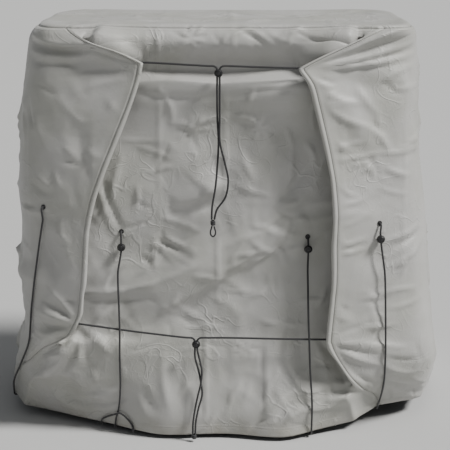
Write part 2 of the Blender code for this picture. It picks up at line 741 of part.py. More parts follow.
def add_knot(name, top, direction=(0.0, 0.0, 1.0)):
    """A barrel knot of three wraps, hanging from its top point."""
    wraps, width, length = 3, KNOT_WIDTH / 2, KNOT_LENGTH
    profile = [(0.0, 0.0)]
    for wrap in range(wraps):
        start = -length * wrap / wraps
        step = length / wraps
        for bulge, along in ((0.78, 0.06), (1.0, 0.5), (0.78, 0.94)):
            profile.append((width * bulge, start - step * along))
    profile.append((0.0, -length))
    return add_turned(name, profile, top, Vector(direction), cord_material)


def add_eyelet(name, tree, x, height):
    """A flat ring on the cloth, facing the way the cloth faces there."""
    hit, normal = cloth_at(tree, x, height)
    inner, outer, thick = EYELET_HOLE / 2, EYELET / 2, EYELET_THICK
    profile = [
        (outer - 0.0008, thick),
        (outer, thick * 0.5),
        (outer, 0.0),
        (inner, 0.0),
        (inner, thick * 0.8),
    ]
    return add_turned(name, profile, hit + normal * 0.0006, normal, cord_material)


def toggle_pair(toggle, line_height, side):
    """The points that bring a strand from its run down into the toggle, and out below it."""
    points = []
    for step in range(5):
        angle = math.radians(22.5 * step)
        across = STRAND_SIDE + BEND * (1 - math.sin(angle))
        drop = BEND * (1 - math.cos(angle))
        points.append(Vector((toggle.x + side * across, toggle.y, line_height - drop)))
    for drop in (0.0, 0.5, 0.7):
        points.append(Vector((toggle.x + side * STRAND_SIDE, toggle.y, toggle.z - TOGGLE * drop)))
    return points


for item in list(bpy.data.objects):
    bpy.data.objects.remove(item, do_unlink=True)

COVER = bpy.data.collections.new("pool_heater_cover")
CUTTERS = bpy.data.collections.new("cutters")
bpy.context.scene.collection.children.link(COVER)
bpy.context.scene.collection.children.link(CUTTERS)
STAND = bpy.data.objects.new("under_the_top", None)
COVER.objects.link(STAND)
STAND.location = (0.0, -DEPTH / 2, -(HEIGHT - CLOTH / 2))

# Panels
RINGS = [ring(height) for height in ROWS]
PANELS = [
    wall_panel("panel_front", RINGS, column_of("seam", -1), column_of("seam", 1)),
    wall_panel("panel_right", RINGS, column_of("seam", 1), column_of("rear_seam", 1)),
    wall_panel("panel_back", RINGS, column_of("rear_seam", 1), column_of("rear_seam", -1)),
    wall_panel("panel_left", RINGS, column_of("rear_seam", -1), column_of("seam", -1)),
    top_panel("panel_top", RINGS[-1]),
]
bpy.context.view_layer.update()
CLOTH_FRONT = surface_of(PANELS)

# Toggles, where each hangs on its cords
UPPER_TOGGLE = Vector((-0.010, -0.027, 0.8935))
LOWER_TOGGLE = Vector((-0.064, -0.030, 0.2475))
UPPER_LINE = 0.910
LOWER_LINE = 0.264
UPRIGHT = Vector((0.0, 0.0, 1.0))
INWARD = (0.0, 1.0, 0.0)

# Upper drawcord: each strand starts in its pleat, behind the flap, and hangs to the knot
UPPER_LEFT_RUN = [
    Vector((-0.206, -0.016, 0.9175)),
    Vector((-0.183, -0.018, 0.9172)),
    Vector((-0.150, -0.020, 0.9160)),
    Vector((-0.100, -0.0235, 0.9135)),
    Vector((-0.055, -0.026, 0.9112)),
    Vector((-0.034, -0.027, 0.9102)),
]
UPPER_RIGHT_RUN = [
    Vector((0.196, -0.020, 0.9046)),
    Vector((0.172, -0.022, 0.9048)),
    Vector((0.140, -0.024, 0.9056)),
    Vector((0.090, -0.0255, 0.9070)),
    Vector((0.040, -0.027, 0.9090)),
    Vector((0.016, -0.027, 0.9099)),
]
UPPER_LEFT_TAIL = [
    Vector((-0.0130, -0.0268, 0.850)),
    Vector((-0.0125, -0.0255, 0.790)),
    Vector((-0.0100, -0.0235, 0.735)),
    Vector((-0.0120, -0.0240, 0.690)),
    Vector((-0.0170, -0.0250, 0.630)),
    Vector((-0.0250, -0.0255, 0.580)),
    Vector((-0.0262, -0.0260, 0.5518)),
]
UPPER_RIGHT_TAIL = [
    Vector((-0.0070, -0.0270, 0.850)),
    Vector((-0.0070, -0.0280, 0.790)),
    Vector((-0.0065, -0.0298, 0.735)),
    Vector((0.0050, -0.0290, 0.685)),
    Vector((0.0125, -0.0275, 0.645)),
    Vector((0.0060, -0.0265, 0.605)),
    Vector((-0.0140, -0.0260, 0.575)),
    Vector((-0.0198, -0.0260, 0.5520)),
]
UPPER_KNOT = Vector((-0.0231, -0.0260, 0.5510))

# Lower drawcord
LOWER_LEFT_RUN = [
    Vector((-0.368, -0.010, 0.2965)),
    Vector((-0.348, -0.014, 0.2945)),
    Vector((-0.300, -0.019, 0.2890)),
    Vector((-0.220, -0.024, 0.2790)),
    Vector((-0.140, -0.028, 0.2700)),
    Vector((-0.090, -0.030, 0.2648)),
]
LOWER_RIGHT_RUN = [
    Vector((0.270, -0.020, 0.2570)),
    Vector((0.247, -0.022, 0.2572)),
    Vector((0.180, -0.0255, 0.2590)),
    Vector((0.090, -0.029, 0.2620)),
    Vector((0.010, -0.030, 0.2640)),
    Vector((-0.036, -0.030, 0.2640)),
]
LOWER_LEFT_TAIL = [
    Vector((-0.0665, -0.0300, 0.215)),
    Vector((-0.0580, -0.0295, 0.180)),
    Vector((-0.0530, -0.0270, 0.150)),
    Vector((-0.0500, -0.0270, 0.120)),
    Vector((-0.0590, -0.0285, 0.085)),
    Vector((-0.0655, -0.0300, 0.050)),
    Vector((-0.0669, -0.0300, 0.0215)),
]
LOWER_RIGHT_TAIL = [
    Vector((-0.0570, -0.0305, 0.215)),
    Vector((-0.0505, -0.0320, 0.180)),
    Vector((-0.0530, -0.0335, 0.150)),
    Vector((-0.0600, -0.0330, 0.120)),
    Vector((-0.0670, -0.0315, 0.085)),
    Vector((-0.0720, -0.0303, 0.050)),
    Vector((-0.0731, -0.0300, 0.0215)),
]
LOWER_KNOT = Vector((-0.0700, -0.0300, 0.0210))

# Cords from eyelet to hem
LEFT_OUTER = [
    Stop(-0.4250, 0.545, 0.002), Stop(-0.4330, 0.500, 0.000), Stop(-0.4480, 0.410, 0.000),
    Stop(-0.4620, 0.324, 0.000), Stop(-0.4760, 0.230, 0.000), Stop(-0.5080, 0.150, 0.000),
    Stop(-0.5380, 0.080, 0.000), Stop(-0.5440, 0.030, 0.000),
]
LEFT_INNER = [
    Stop(-0.2410, 0.4900, 0.0085), Stop(-0.2410, 0.4780, 0.0090), Stop(-0.2415, 0.4660, 0.0085),
    Stop(-0.2455, 0.4420, 0.002),
    Stop(-0.2490, 0.4200, 0.000), Stop(-0.2470, 0.3300, 0.000), Stop(-0.2460, 0.2790, 0.000),
    Stop(-0.2480, 0.2200, 0.000), Stop(-0.2500, 0.1200, 0.000), Stop(-0.2560, 0.0650, 0.000),
    Stop(-0.2640, 0.0350, 0.000), Stop(-0.2680, 0.0000, 0.000),
]
RIGHT_INNER = [
    Stop(0.2020, 0.4880, 0.0080), Stop(0.2020, 0.4750, 0.0090), Stop(0.2020, 0.4620, 0.0085),
    Stop(0.2010, 0.4320, 0.002), Stop(0.2020, 0.3800, 0.000), Stop(0.2040, 0.3000, 0.000),
    Stop(0.2060, 0.2560, 0.000), Stop(0.2090, 0.1900, 0.000), Stop(0.2150, 0.1000, 0.000),
    Stop(0.2160, 0.0300, 0.000), Stop(0.2160, 0.0000, 0.000),
]
RIGHT_OUTER = [
    Stop(0.3695, 0.5200, 0.0080), Stop(0.3710, 0.5040, 0.0090), Stop(0.3725, 0.4900, 0.0085),
    Stop(0.3770, 0.4600, 0.002), Stop(0.3830, 0.4200, 0.000), Stop(0.3880, 0.3200, 0.000),
    Stop(0.3920, 0.2000, 0.000), Stop(0.3945, 0.1300, 0.000), Stop(0.3930, 0.0800, 0.000),
    Stop(0.3880, 0.0300, 0.000),
]

# The bridle's two legs, each from the top of its arch over the cord down to the hem
LEFT_LEG = [
    Stop(-0.2545, 0.0560, 0.0010), Stop(-0.2640, 0.0520, 0.0010), Stop(-0.2840, 0.0400, 0.000),
    Stop(-0.3000, 0.0260, 0.000), Stop(-0.3060, 0.0000, 0.000),
]
RIGHT_LEG = [
    Stop(-0.2545, 0.0560, 0.0010), Stop(-0.2460, 0.0520, 0.0010), Stop(-0.2330, 0.0400, 0.000),
    Stop(-0.2230, 0.0260, 0.000), Stop(-0.2190, 0.0000, 0.000),
]


def add_drawcord(name, run, toggle, line_height, side, tail):
    """One strand of a drawcord, from its flap to the toggle, through it and down to the knot."""
    stops = run + toggle_pair(toggle, line_height, side) + tail
    return add_tube(name, curve_points(stops, CORD_STEP), CORD)


def add_hem_cord(name, things, eyelet, stops, inward, toggle_height=None):
    """A cord from its eyelet over the cloth and under the hem, with its eyelet and its toggle."""
    tree = surface_of(things)
    head = out_of_eyelet(CLOTH_FRONT, *eyelet)
    points = curve_points(head + under_hem(CLOTH_FRONT, laid(CLOTH_FRONT, tree, stops), inward), CORD_STEP)
    add_eyelet(name + "_eyelet", CLOTH_FRONT, *eyelet)
    made = [add_tube(name, points, CORD)]
    if toggle_height is not None:
        place, direction = at_height(points, toggle_height)
        made.append(add_toggle(name + "_toggle", place, direction, TOGGLE_BORE))
    return made


UPPER = [
    add_drawcord("upper_drawcord_left", UPPER_LEFT_RUN, UPPER_TOGGLE, UPPER_LINE, -1, UPPER_LEFT_TAIL),
    add_drawcord("upper_drawcord_right", UPPER_RIGHT_RUN, UPPER_TOGGLE, UPPER_LINE, 1, UPPER_RIGHT_TAIL),
    add_toggle("upper_toggle", UPPER_TOGGLE, UPRIGHT, TOGGLE_SLOT),
    add_knot("upper_knot", UPPER_KNOT),
]
LOWER = [
    add_drawcord("lower_drawcord_left", LOWER_LEFT_RUN, LOWER_TOGGLE, LOWER_LINE, -1, LOWER_LEFT_TAIL),
    add_drawcord("lower_drawcord_right", LOWER_RIGHT_RUN, LOWER_TOGGLE, LOWER_LINE, 1, LOWER_RIGHT_TAIL),
    add_toggle("lower_toggle", LOWER_TOGGLE, UPRIGHT, TOGGLE_SLOT),
    add_knot("lower_knot", LOWER_KNOT),
]
LOOP = [
    Vector((-0.0259, -0.0260, 0.5355)),
    Vector((-0.0270, -0.0262, 0.5300)),
    Vector((-0.0290, -0.0264, 0.5230)),
    Vector((-0.0280, -0.0266, 0.5150)),
    Vector((-0.0231, -0.0266, 0.5110)),
    Vector((-0.0182, -0.0266, 0.5150)),
    Vector((-0.0172, -0.0264, 0.5230)),
    Vector((-0.0192, -0.0262, 0.5300)),
    Vector((-0.0203, -0.0260, 0.5355)),
]
add_tube("upper_end_loop", curve_points(LOOP, 0.005), CORD * 0.8)
bpy.context.view_layer.update()
add_hem_cord("left_outer_cord", PANELS, (-0.4225, 0.575), LEFT_OUTER, (0.8, 0.6, 0.0))
add_hem_cord("right_outer_cord", PANELS, (0.3680, 0.540), RIGHT_OUTER, (-0.5, 0.8, 0.0), 0.504)
LEFT_SET = add_hem_cord("left_inner_cord", PANELS + LOWER, (-0.2405, 0.514), LEFT_INNER, INWARD, 0.478)
add_hem_cord("right_inner_cord", PANELS + LOWER, (0.2010, 0.503), RIGHT_INNER, INWARD, 0.475)
bpy.context.view_layer.update()
BRIDLE_TREE = surface_of(PANELS + LEFT_SET[:1])
BRIDLE_LEFT = under_hem(CLOTH_FRONT, laid(CLOTH_FRONT, BRIDLE_TREE, LEFT_LEG), INWARD)
BRIDLE_RIGHT = under_hem(CLOTH_FRONT, laid(CLOTH_FRONT, BRIDLE_TREE, RIGHT_LEG), INWARD)
add_tube("left_inner_bridle", curve_points(BRIDLE_LEFT[:0:-1] + BRIDLE_RIGHT, 0.012), CORD)
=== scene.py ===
"""A fitted cloth cover that hides a poolside heater, cinched across the front by two drawcords.

The cover is shaped in the heater's own space: x runs to the viewer's right, y back from the
heater's front, and height up from the ground. STAND then carries it so that the origin lies
under the middle of the top.
"""

import math
import random
from collections import namedtuple

import bmesh
import bpy
import numpy as np
from mathutils import Matrix, Vector, noise
from mathutils.bvhtree import BVHTree
from mathutils.geometry import delaunay_2d_cdt


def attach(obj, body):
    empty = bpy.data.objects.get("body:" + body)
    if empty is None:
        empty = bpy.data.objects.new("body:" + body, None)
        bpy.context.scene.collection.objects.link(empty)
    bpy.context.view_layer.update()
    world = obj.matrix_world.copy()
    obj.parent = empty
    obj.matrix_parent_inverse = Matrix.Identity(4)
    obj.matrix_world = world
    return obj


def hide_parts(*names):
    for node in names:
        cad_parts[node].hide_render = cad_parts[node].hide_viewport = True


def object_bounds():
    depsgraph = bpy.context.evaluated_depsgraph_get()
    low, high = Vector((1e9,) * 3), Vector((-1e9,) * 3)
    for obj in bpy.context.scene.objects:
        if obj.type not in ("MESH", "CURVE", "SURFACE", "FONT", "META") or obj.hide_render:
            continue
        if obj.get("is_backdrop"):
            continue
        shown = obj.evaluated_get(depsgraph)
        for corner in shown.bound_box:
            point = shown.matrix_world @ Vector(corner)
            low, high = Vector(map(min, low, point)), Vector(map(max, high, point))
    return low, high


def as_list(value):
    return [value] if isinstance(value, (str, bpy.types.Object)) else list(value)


bl_info = {
    "name": "Pool heater cover",
    "version": (1, 0, 0),
    "blender": (4, 5, 0),
    "location": "View3D > Sidebar > Heater cover",
    "description": "A fitted cloth cover with drawcords, toggles, eyelets and cords to its hem",
    "category": "Add Mesh",
}

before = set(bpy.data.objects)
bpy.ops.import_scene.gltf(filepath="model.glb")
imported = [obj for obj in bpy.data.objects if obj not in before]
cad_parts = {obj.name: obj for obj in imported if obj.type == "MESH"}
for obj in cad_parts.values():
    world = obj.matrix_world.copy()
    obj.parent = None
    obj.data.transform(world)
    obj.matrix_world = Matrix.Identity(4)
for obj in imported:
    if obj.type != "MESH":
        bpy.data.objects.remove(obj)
CAD_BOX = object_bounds()

# Driving sizes of the cover, in metres
HEIGHT = 1.0
DEPTH = 0.62
CLOTH = 0.0014
SEAM_GAP = 0.0004
EDGE_REACH = 0.012
EDGE_RADIUS = 0.005
PLEAT_DEPTH = 0.016
TOP_ROUND_LEFT = 0.045
TOP_ROUND_RIGHT = 0.032
TOP_SEAM = 0.992
HEM_LIFT_REACH = 0.22
CREASE_DEPTH = 2.0
LEFT_TIP_LOW = 0.296
LEFT_TIP_HIGH = 0.918
RIGHT_TIP_LOW = 0.257
RIGHT_TIP_HIGH = 0.905
STAND = Vector((0.0, -DEPTH / 2, -0.999))

# The light and the camera: places in metres, angles in degrees
KEY_SPREAD = 14
KEY_PLACE = (2.2, -1.4, 3.0)
KEY_DIRECTION = Vector((-0.62, 0.26, -0.74))
CAMERA_LENS = 104.24
CAMERA_PLACE = (0.005, -3.31, 0.211)
CAMERA_TILT = 77.28

# Sizes of the cords and of what is on them
CORD = 0.005
CORD_GAP = 0.0004
TOGGLE = 0.020
TOGGLE_BORE = 0.0068
TOGGLE_SLOT = 0.0130
STRAND_SIDE = 0.0029
BEND = 0.010
KNOT_LENGTH = 0.015
KNOT_WIDTH = 0.0125
EYELET = 0.012
EYELET_HOLE = 0.0066
EYELET_THICK = 0.0026

Stop = namedtuple("Stop", "x height off")

# Each front corner by height: the flap's edge and the deep fold of the pleat behind it, as distances
# from the middle, the corner of the box, and how far the corner turns in towards the front
Corner = namedtuple("Corner", "height edge edge_y pleat pleat_y corner corner_y turn")
LEFT_CORNER = [
    Corner(0.000, 0.548, 0.235, 0.505, 0.150, 0.556, 0.330, 0.000),
    Corner(0.075, 0.540, 0.205, 0.490, 0.120, 0.550, 0.290, 0.000),
    Corner(0.116, 0.528, 0.165, 0.470, 0.085, 0.543, 0.240, 0.002),
    Corner(0.148, 0.490, 0.110, 0.430, 0.040, 0.530, 0.170, 0.010),
    Corner(0.220, 0.428, 0.022, 0.385, 0.004, 0.499, 0.062, 0.028),
    Corner(0.245, 0.392, -0.008, 0.405, 0.004, 0.493, 0.040, 0.032),
    Corner(0.268, 0.362, -0.026, 0.415, 0.000, 0.490, 0.034, 0.034),
    Corner(0.296, 0.346, -0.038, 0.418, -0.004, 0.494, 0.030, 0.035),
    Corner(0.326, 0.333, -0.038, 0.412, -0.002, 0.496, 0.030, 0.035),
    Corner(0.373, 0.328, -0.040, 0.405, 0.000, 0.500, 0.030, 0.035),
    Corner(0.397, 0.323, -0.041, 0.402, 0.000, 0.507, 0.030, 0.035),
    Corner(0.443, 0.319, -0.042, 0.400, 0.000, 0.493, 0.030, 0.035),
    Corner(0.513, 0.314, -0.044, 0.395, 0.000, 0.490, 0.030, 0.035),
    Corner(0.593, 0.298, -0.046, 0.384, -0.002, 0.493, 0.030, 0.035),
    Corner(0.667, 0.272, -0.048, 0.371, -0.004, 0.487, 0.030, 0.035),
    Corner(0.742, 0.241, -0.048, 0.355, -0.006, 0.482, 0.030, 0.036),
    Corner(0.800, 0.217, -0.048, 0.345, -0.008, 0.477, 0.030, 0.038),
    Corner(0.845, 0.200, -0.046, 0.335, -0.010, 0.472, 0.030, 0.040),
    Corner(0.891, 0.186, -0.044, 0.324, -0.010, 0.467, 0.032, 0.042),
    Corner(0.918, 0.181, -0.042, 0.322, -0.008, 0.464, 0.034, 0.045),
    Corner(0.941, 0.234, -0.034, 0.326, -0.002, 0.461, 0.036, 0.048),
    Corner(0.961, 0.297, -0.024, 0.330, 0.000, 0.458, 0.034, 0.044),
    Corner(0.980, 0.342, -0.006, 0.318, 0.002, 0.456, 0.026, 0.034),
    Corner(1.000, 0.380, 0.000, 0.325, 0.000, 0.455, 0.018, 0.022),
]
RIGHT_CORNER = [
    Corner(0.000, 0.386, 0.110, 0.325, 0.045, 0.526, 0.165, 0.030),
    Corner(0.058, 0.368, 0.075, 0.312, 0.015, 0.532, 0.135, 0.030),
    Corner(0.094, 0.343, 0.030, 0.302, -0.008, 0.534, 0.105, 0.032),
    Corner(0.115, 0.328, 0.004, 0.304, 0.004, 0.535, 0.092, 0.033),
    Corner(0.150, 0.303, -0.022, 0.332, 0.004, 0.536, 0.074, 0.034),
    Corner(0.186, 0.280, -0.032, 0.360, -0.004, 0.532, 0.055, 0.035),
    Corner(0.237, 0.252, -0.044, 0.382, -0.006, 0.521, 0.040, 0.035),
    Corner(0.257, 0.245, -0.046, 0.387, -0.006, 0.517, 0.036, 0.035),
    Corner(0.311, 0.249, -0.046, 0.386, -0.006, 0.510, 0.032, 0.035),
    Corner(0.360, 0.253, -0.048, 0.384, -0.005, 0.505, 0.030, 0.035),
    Corner(0.409, 0.256, -0.050, 0.382, -0.004, 0.501, 0.030, 0.035),
    Corner(0.494, 0.254, -0.054, 0.378, -0.004, 0.493, 0.030, 0.035),
    Corner(0.551, 0.256, -0.056, 0.374, -0.004, 0.488, 0.030, 0.035),
    Corner(0.637, 0.250, -0.054, 0.364, -0.005, 0.479, 0.030, 0.035),
    Corner(0.684, 0.242, -0.052, 0.356, -0.006, 0.473, 0.030, 0.036),
    Corner(0.744, 0.228, -0.050, 0.348, -0.008, 0.469, 0.030, 0.036),
    Corner(0.823, 0.208, -0.048, 0.338, -0.010, 0.466, 0.030, 0.038),
    Corner(0.866, 0.196, -0.047, 0.330, -0.010, 0.463, 0.030, 0.040),
    Corner(0.905, 0.170, -0.046, 0.322, -0.008, 0.459, 0.032, 0.042),
    Corner(0.930, 0.221, -0.036, 0.328, -0.002, 0.457, 0.034, 0.044),
    Corner(0.950, 0.267, -0.026, 0.332, 0.000, 0.456, 0.032, 0.042),
    Corner(0.978, 0.332, -0.010, 0.322, 0.000, 0.455, 0.024, 0.032),
    Corner(1.000, 0.390, 0.000, 0.340, 0.000, 0.454, 0.016, 0.020),
]

# How far back the slack middle of the front lies, by height: at the left, the centre and the right
Middle = namedtuple("Middle", "height left centre right")
MIDDLE = [
    Middle(0.000, -0.008, -0.008, -0.026),
    Middle(0.050, -0.014, -0.014, -0.028),
    Middle(0.120, -0.010, -0.010, -0.014),
    Middle(0.220, 0.004, 0.002, 0.004),
    Middle(0.280, 0.010, 0.009, 0.009),
    Middle(0.420, 0.006, 0.004, 0.007),
    Middle(0.620, 0.006, 0.004, 0.007),
    Middle(0.740, 0.012, 0.012, 0.010),
    Middle(0.800, 0.006, 0.006, 0.002),
    Middle(0.830, -0.002, -0.005, -0.012),
    Middle(0.856, -0.006, -0.010, -0.020),
    Middle(0.868, -0.003, -0.006, -0.015),
    Middle(0.880, 0.018, 0.016, 0.010),
    Middle(0.893, 0.034, 0.036, 0.034),
    Middle(0.912, 0.032, 0.034, 0.032),
    Middle(0.935, 0.014, 0.014, 0.014),
    Middle(0.960, 0.002, 0.000, 0.002),
    Middle(1.000, 0.000, 0.000, 0.000),
]

# The other walls by height: both sides half-way back, the rear corners and the rear wall
Wall = namedtuple("Wall", "height left right left_rear right_rear rear")
WALLS = [
    Wall(0.000, 0.562, 0.552, 0.515, 0.515, 0.655),
    Wall(0.120, 0.546, 0.546, 0.505, 0.505, 0.645),
    Wall(0.300, 0.505, 0.524, 0.492, 0.495, 0.637),
    Wall(0.500, 0.500, 0.504, 0.480, 0.482, 0.633),
    Wall(0.750, 0.486, 0.482, 0.466, 0.466, 0.626),
    Wall(0.930, 0.468, 0.466, 0.455, 0.455, 0.621),
    Wall(1.000, 0.460, 0.460, 0.452, 0.452, 0.620),
]


# Places round half a section, from the middle of the rear to the middle of the front: the columns
# that each one's folds are measured in, how far its hem is lifted, and its columns of points
Place = namedtuple("Place", "name columns lift points")
PLACES = [
    Place("rear", 1, 0.004, 20),
    Place("rear_half", 2, 0.004, 20),
    Place("rear_seam", 2, 0.006, 9),
    Place("rear_corner", 2, 0.010, 28),
    Place("side", 3, 0.030, 24),
    Place("corner", 2, 0.045, 16),
    Place("corner_turn", 2, 0.045, 15),
    Place("flap", 2, 0.044, 15),
    Place("seam", 1, 0.042, 4),
    Place("lip", 1, 0.041, 3),
    Place("edge", 1, 0.040, 4),
    Place("return", 1, 0.037, 5),
    Place("tuck", 1, 0.034, 5),
    Place("pleat_in", 1, 0.031, 4),
    Place("pleat", 1, 0.028, 4),
    Place("pleat_out", 2, 0.024, 20),
    Place("panel_edge", 3, 0.017, 18),
    Place("quarter", 4, 0.012, 25),
]
ROW_STEP = 0.0056
ROUND_STEP = 0.0030
ROUND_START = 0.955
TOP_STEP = 0.0085

# Main folds in the cloth, each a soft ridge, or a trough where its rise is negative, between two
# points of a face: across it, in x or along the depth, and up it
Fold = namedtuple("Fold", "across_1 height_1 across_2 height_2 width rise")
MIDDLE_FOLDS = [
    Fold(-0.350, 0.985, -0.190, 0.922, 0.022, 0.020),
    Fold(0.340, 0.985, 0.180, 0.912, 0.022, 0.020),
    Fold(-0.230, 0.330, 0.200, 0.545, 0.050, 0.015),
    Fold(-0.200, 0.285, 0.240, 0.470, 0.040, -0.008),
    Fold(-0.250, 0.430, 0.020, 0.540, 0.040, -0.007),
    Fold(-0.120, 0.585, 0.000, 0.640, 0.022, 0.010),
    Fold(-0.130, 0.560, 0.010, 0.605, 0.022, -0.007),
    Fold(-0.260, 0.205, -0.080, 0.270, 0.026, 0.009),
    Fold(0.060, 0.780, 0.170, 0.640, 0.034, 0.007),
    Fold(-0.170, 0.760, -0.060, 0.640, 0.034, 0.006),
    Fold(-0.030, 0.700, 0.060, 0.560, 0.030, -0.006),
    Fold(-0.330, 0.170, -0.270, 0.020, 0.030, 0.012),
    Fold(-0.400, 0.150, -0.360, 0.030, 0.026, -0.010),
    Fold(0.240, 0.180, 0.190, 0.030, 0.030, 0.010),
    Fold(0.060, 0.200, 0.100, 0.040, 0.035, -0.006),
]
LEFT_FLAP_FOLDS = [
    Fold(-0.350, 0.300, -0.500, 0.345, 0.020, 0.010),
    Fold(-0.350, 0.292, -0.480, 0.230, 0.020, 0.008),
    Fold(-0.200, 0.912, -0.420, 0.900, 0.026, -0.006),
    Fold(-0.400, 0.840, -0.360, 0.560, 0.040, 0.006),
    Fold(-0.430, 0.560, -0.400, 0.360, 0.035, -0.006),
]
RIGHT_FLAP_FOLDS = [
    Fold(0.190, 0.905, 0.450, 0.925, 0.018, 0.008),
    Fold(0.200, 0.890, 0.440, 0.840, 0.024, -0.007),
    Fold(0.210, 0.860, 0.400, 0.690, 0.026, 0.008),
    Fold(0.260, 0.262, 0.480, 0.330, 0.022, 0.009),
    Fold(0.260, 0.255, 0.500, 0.190, 0.024, 0.009),
    Fold(0.300, 0.470, 0.480, 0.420, 0.030, -0.007),
]
SIDE_FOLDS = [
    Fold(0.080, 0.400, 0.400, 0.330, 0.035, 0.008),
    Fold(0.150, 0.860, 0.500, 0.600, 0.050, -0.007),
    Fold(0.200, 0.300, 0.550, 0.120, 0.045, -0.009),
    Fold(0.330, 0.620, 0.420, 0.200, 0.050, 0.008),
]
REAR_FOLDS = [
    Fold(-0.300, 0.800, 0.100, 0.300, 0.060, 0.008),
    Fold(0.300, 0.850, 0.200, 0.150, 0.060, -0.007),
    Fold(-0.380, 0.500, -0.340, 0.050, 0.050, 0.008),
]
TOP_FOLDS = [
    Fold(-0.300, 0.120, 0.050, 0.480, 0.060, -0.005),
    Fold(0.100, 0.100, 0.350, 0.420, 0.060, 0.004),
]


# Toggles, where each hangs on its cords
UPPER_TOGGLE = Vector((-0.010, -0.027, 0.8935))
LOWER_TOGGLE = Vector((-0.064, -0.030, 0.2475))
UPPER_LINE = 0.910
LOWER_LINE = 0.264
UPRIGHT = Vector((0.0, 0.0, 1.0))
INWARD = (0.0, 1.0, 0.0)


def route(*points):
    """A cord's points in order, as given."""
    return [Vector(point) for point in points]


# Upper drawcord: each strand starts in its pleat, behind the flap, and hangs to the knot
UPPER_LEFT_RUN = route(
    (-0.206, -0.016, 0.9175),
    (-0.183, -0.018, 0.9172),
    (-0.150, -0.020, 0.9160),
    (-0.100, -0.0235, 0.9135),
    (-0.055, -0.026, 0.9112),
    (-0.034, -0.027, 0.9102),
)
UPPER_RIGHT_RUN = route(
    (0.196, -0.020, 0.9046),
    (0.172, -0.022, 0.9048),
    (0.140, -0.024, 0.9056),
    (0.090, -0.0255, 0.9070),
    (0.040, -0.027, 0.9090),
    (0.016, -0.027, 0.9099),
)
UPPER_LEFT_TAIL = route(
    (-0.0130, -0.0268, 0.850),
    (-0.0125, -0.0255, 0.790),
    (-0.0100, -0.0235, 0.735),
    (-0.0120, -0.0240, 0.690),
    (-0.0170, -0.0250, 0.630),
    (-0.0250, -0.0255, 0.580),
    (-0.0262, -0.0260, 0.5518),
)
UPPER_RIGHT_TAIL = route(
    (-0.0070, -0.0270, 0.850),
    (-0.0070, -0.0280, 0.790),
    (-0.0065, -0.0298, 0.735),
    (0.0050, -0.0290, 0.685),
    (0.0125, -0.0275, 0.645),
    (0.0060, -0.0265, 0.605),
    (-0.0140, -0.0260, 0.575),
    (-0.0198, -0.0260, 0.5520),
)
UPPER_KNOT = Vector((-0.0231, -0.0260, 0.5510))

# Lower drawcord
LOWER_LEFT_RUN = route(
    (-0.368, -0.010, 0.2965),
    (-0.348, -0.014, 0.2945),
    (-0.300, -0.019, 0.2890),
    (-0.220, -0.024, 0.2790),
    (-0.140, -0.028, 0.2700),
    (-0.090, -0.030, 0.2648),
)
LOWER_RIGHT_RUN = route(
    (0.270, -0.020, 0.2570),
    (0.247, -0.022, 0.2572),
    (0.180, -0.0255, 0.2590),
    (0.090, -0.029, 0.2620),
    (0.010, -0.030, 0.2640),
    (-0.036, -0.030, 0.2640),
)
LOWER_LEFT_TAIL = route(
    (-0.0665, -0.0300, 0.215),
    (-0.0580, -0.0295, 0.180),
    (-0.0530, -0.0270, 0.150),
    (-0.0500, -0.0270, 0.120),
    (-0.0590, -0.0285, 0.085),
    (-0.0655, -0.0300, 0.050),
    (-0.0669, -0.0300, 0.0215),
)
LOWER_RIGHT_TAIL = route(
    (-0.0570, -0.0305, 0.215),
    (-0.0505, -0.0320, 0.180),
    (-0.0530, -0.0335, 0.150),
    (-0.0600, -0.0330, 0.120),
    (-0.0670, -0.0315, 0.085),
    (-0.0720, -0.0303, 0.050),
    (-0.0731, -0.0300, 0.0215),
)
LOWER_KNOT = Vector((-0.0700, -0.0300, 0.0210))

# Cords from eyelet to hem
LEFT_OUTER = [
    Stop(-0.4250, 0.545, 0.002), Stop(-0.4330, 0.500, 0.000), Stop(-0.4480, 0.410, 0.000),
    Stop(-0.4620, 0.324, 0.000), Stop(-0.4760, 0.230, 0.000), Stop(-0.5080, 0.150, 0.000),
    Stop(-0.5380, 0.080, 0.000), Stop(-0.5440, 0.030, 0.000),
]
LEFT_INNER = [
    Stop(-0.2410, 0.4900, 0.0085), Stop(-0.2410, 0.4780, 0.0090), Stop(-0.2415, 0.4660, 0.0085),
    Stop(-0.2455, 0.4420, 0.002),
    Stop(-0.2490, 0.4200, 0.000), Stop(-0.2470, 0.3300, 0.000), Stop(-0.2460, 0.2790, 0.000),
    Stop(-0.2480, 0.2200, 0.000), Stop(-0.2500, 0.1200, 0.000), Stop(-0.2560, 0.0650, 0.000),
    Stop(-0.2640, 0.0350, 0.000), Stop(-0.2680, 0.0000, 0.000),
]
RIGHT_INNER = [
    Stop(0.2020, 0.4880, 0.0080), Stop(0.2020, 0.4750, 0.0090), Stop(0.2020, 0.4620, 0.0085),
    Stop(0.2010, 0.4320, 0.002), Stop(0.2020, 0.3800, 0.000), Stop(0.2040, 0.3000, 0.000),
    Stop(0.2060, 0.2560, 0.000), Stop(0.2090, 0.1900, 0.000), Stop(0.2150, 0.1000, 0.000),
    Stop(0.2160, 0.0300, 0.000), Stop(0.2160, 0.0000, 0.000),
]
RIGHT_OUTER = [
    Stop(0.3695, 0.5200, 0.0080), Stop(0.3710, 0.5040, 0.0090), Stop(0.3725, 0.4900, 0.0085),
    Stop(0.3770, 0.4600, 0.002), Stop(0.3830, 0.4200, 0.000), Stop(0.3880, 0.3200, 0.000),
    Stop(0.3920, 0.2000, 0.000), Stop(0.3945, 0.1300, 0.000), Stop(0.3930, 0.0800, 0.000),
    Stop(0.3880, 0.0300, 0.000),
]

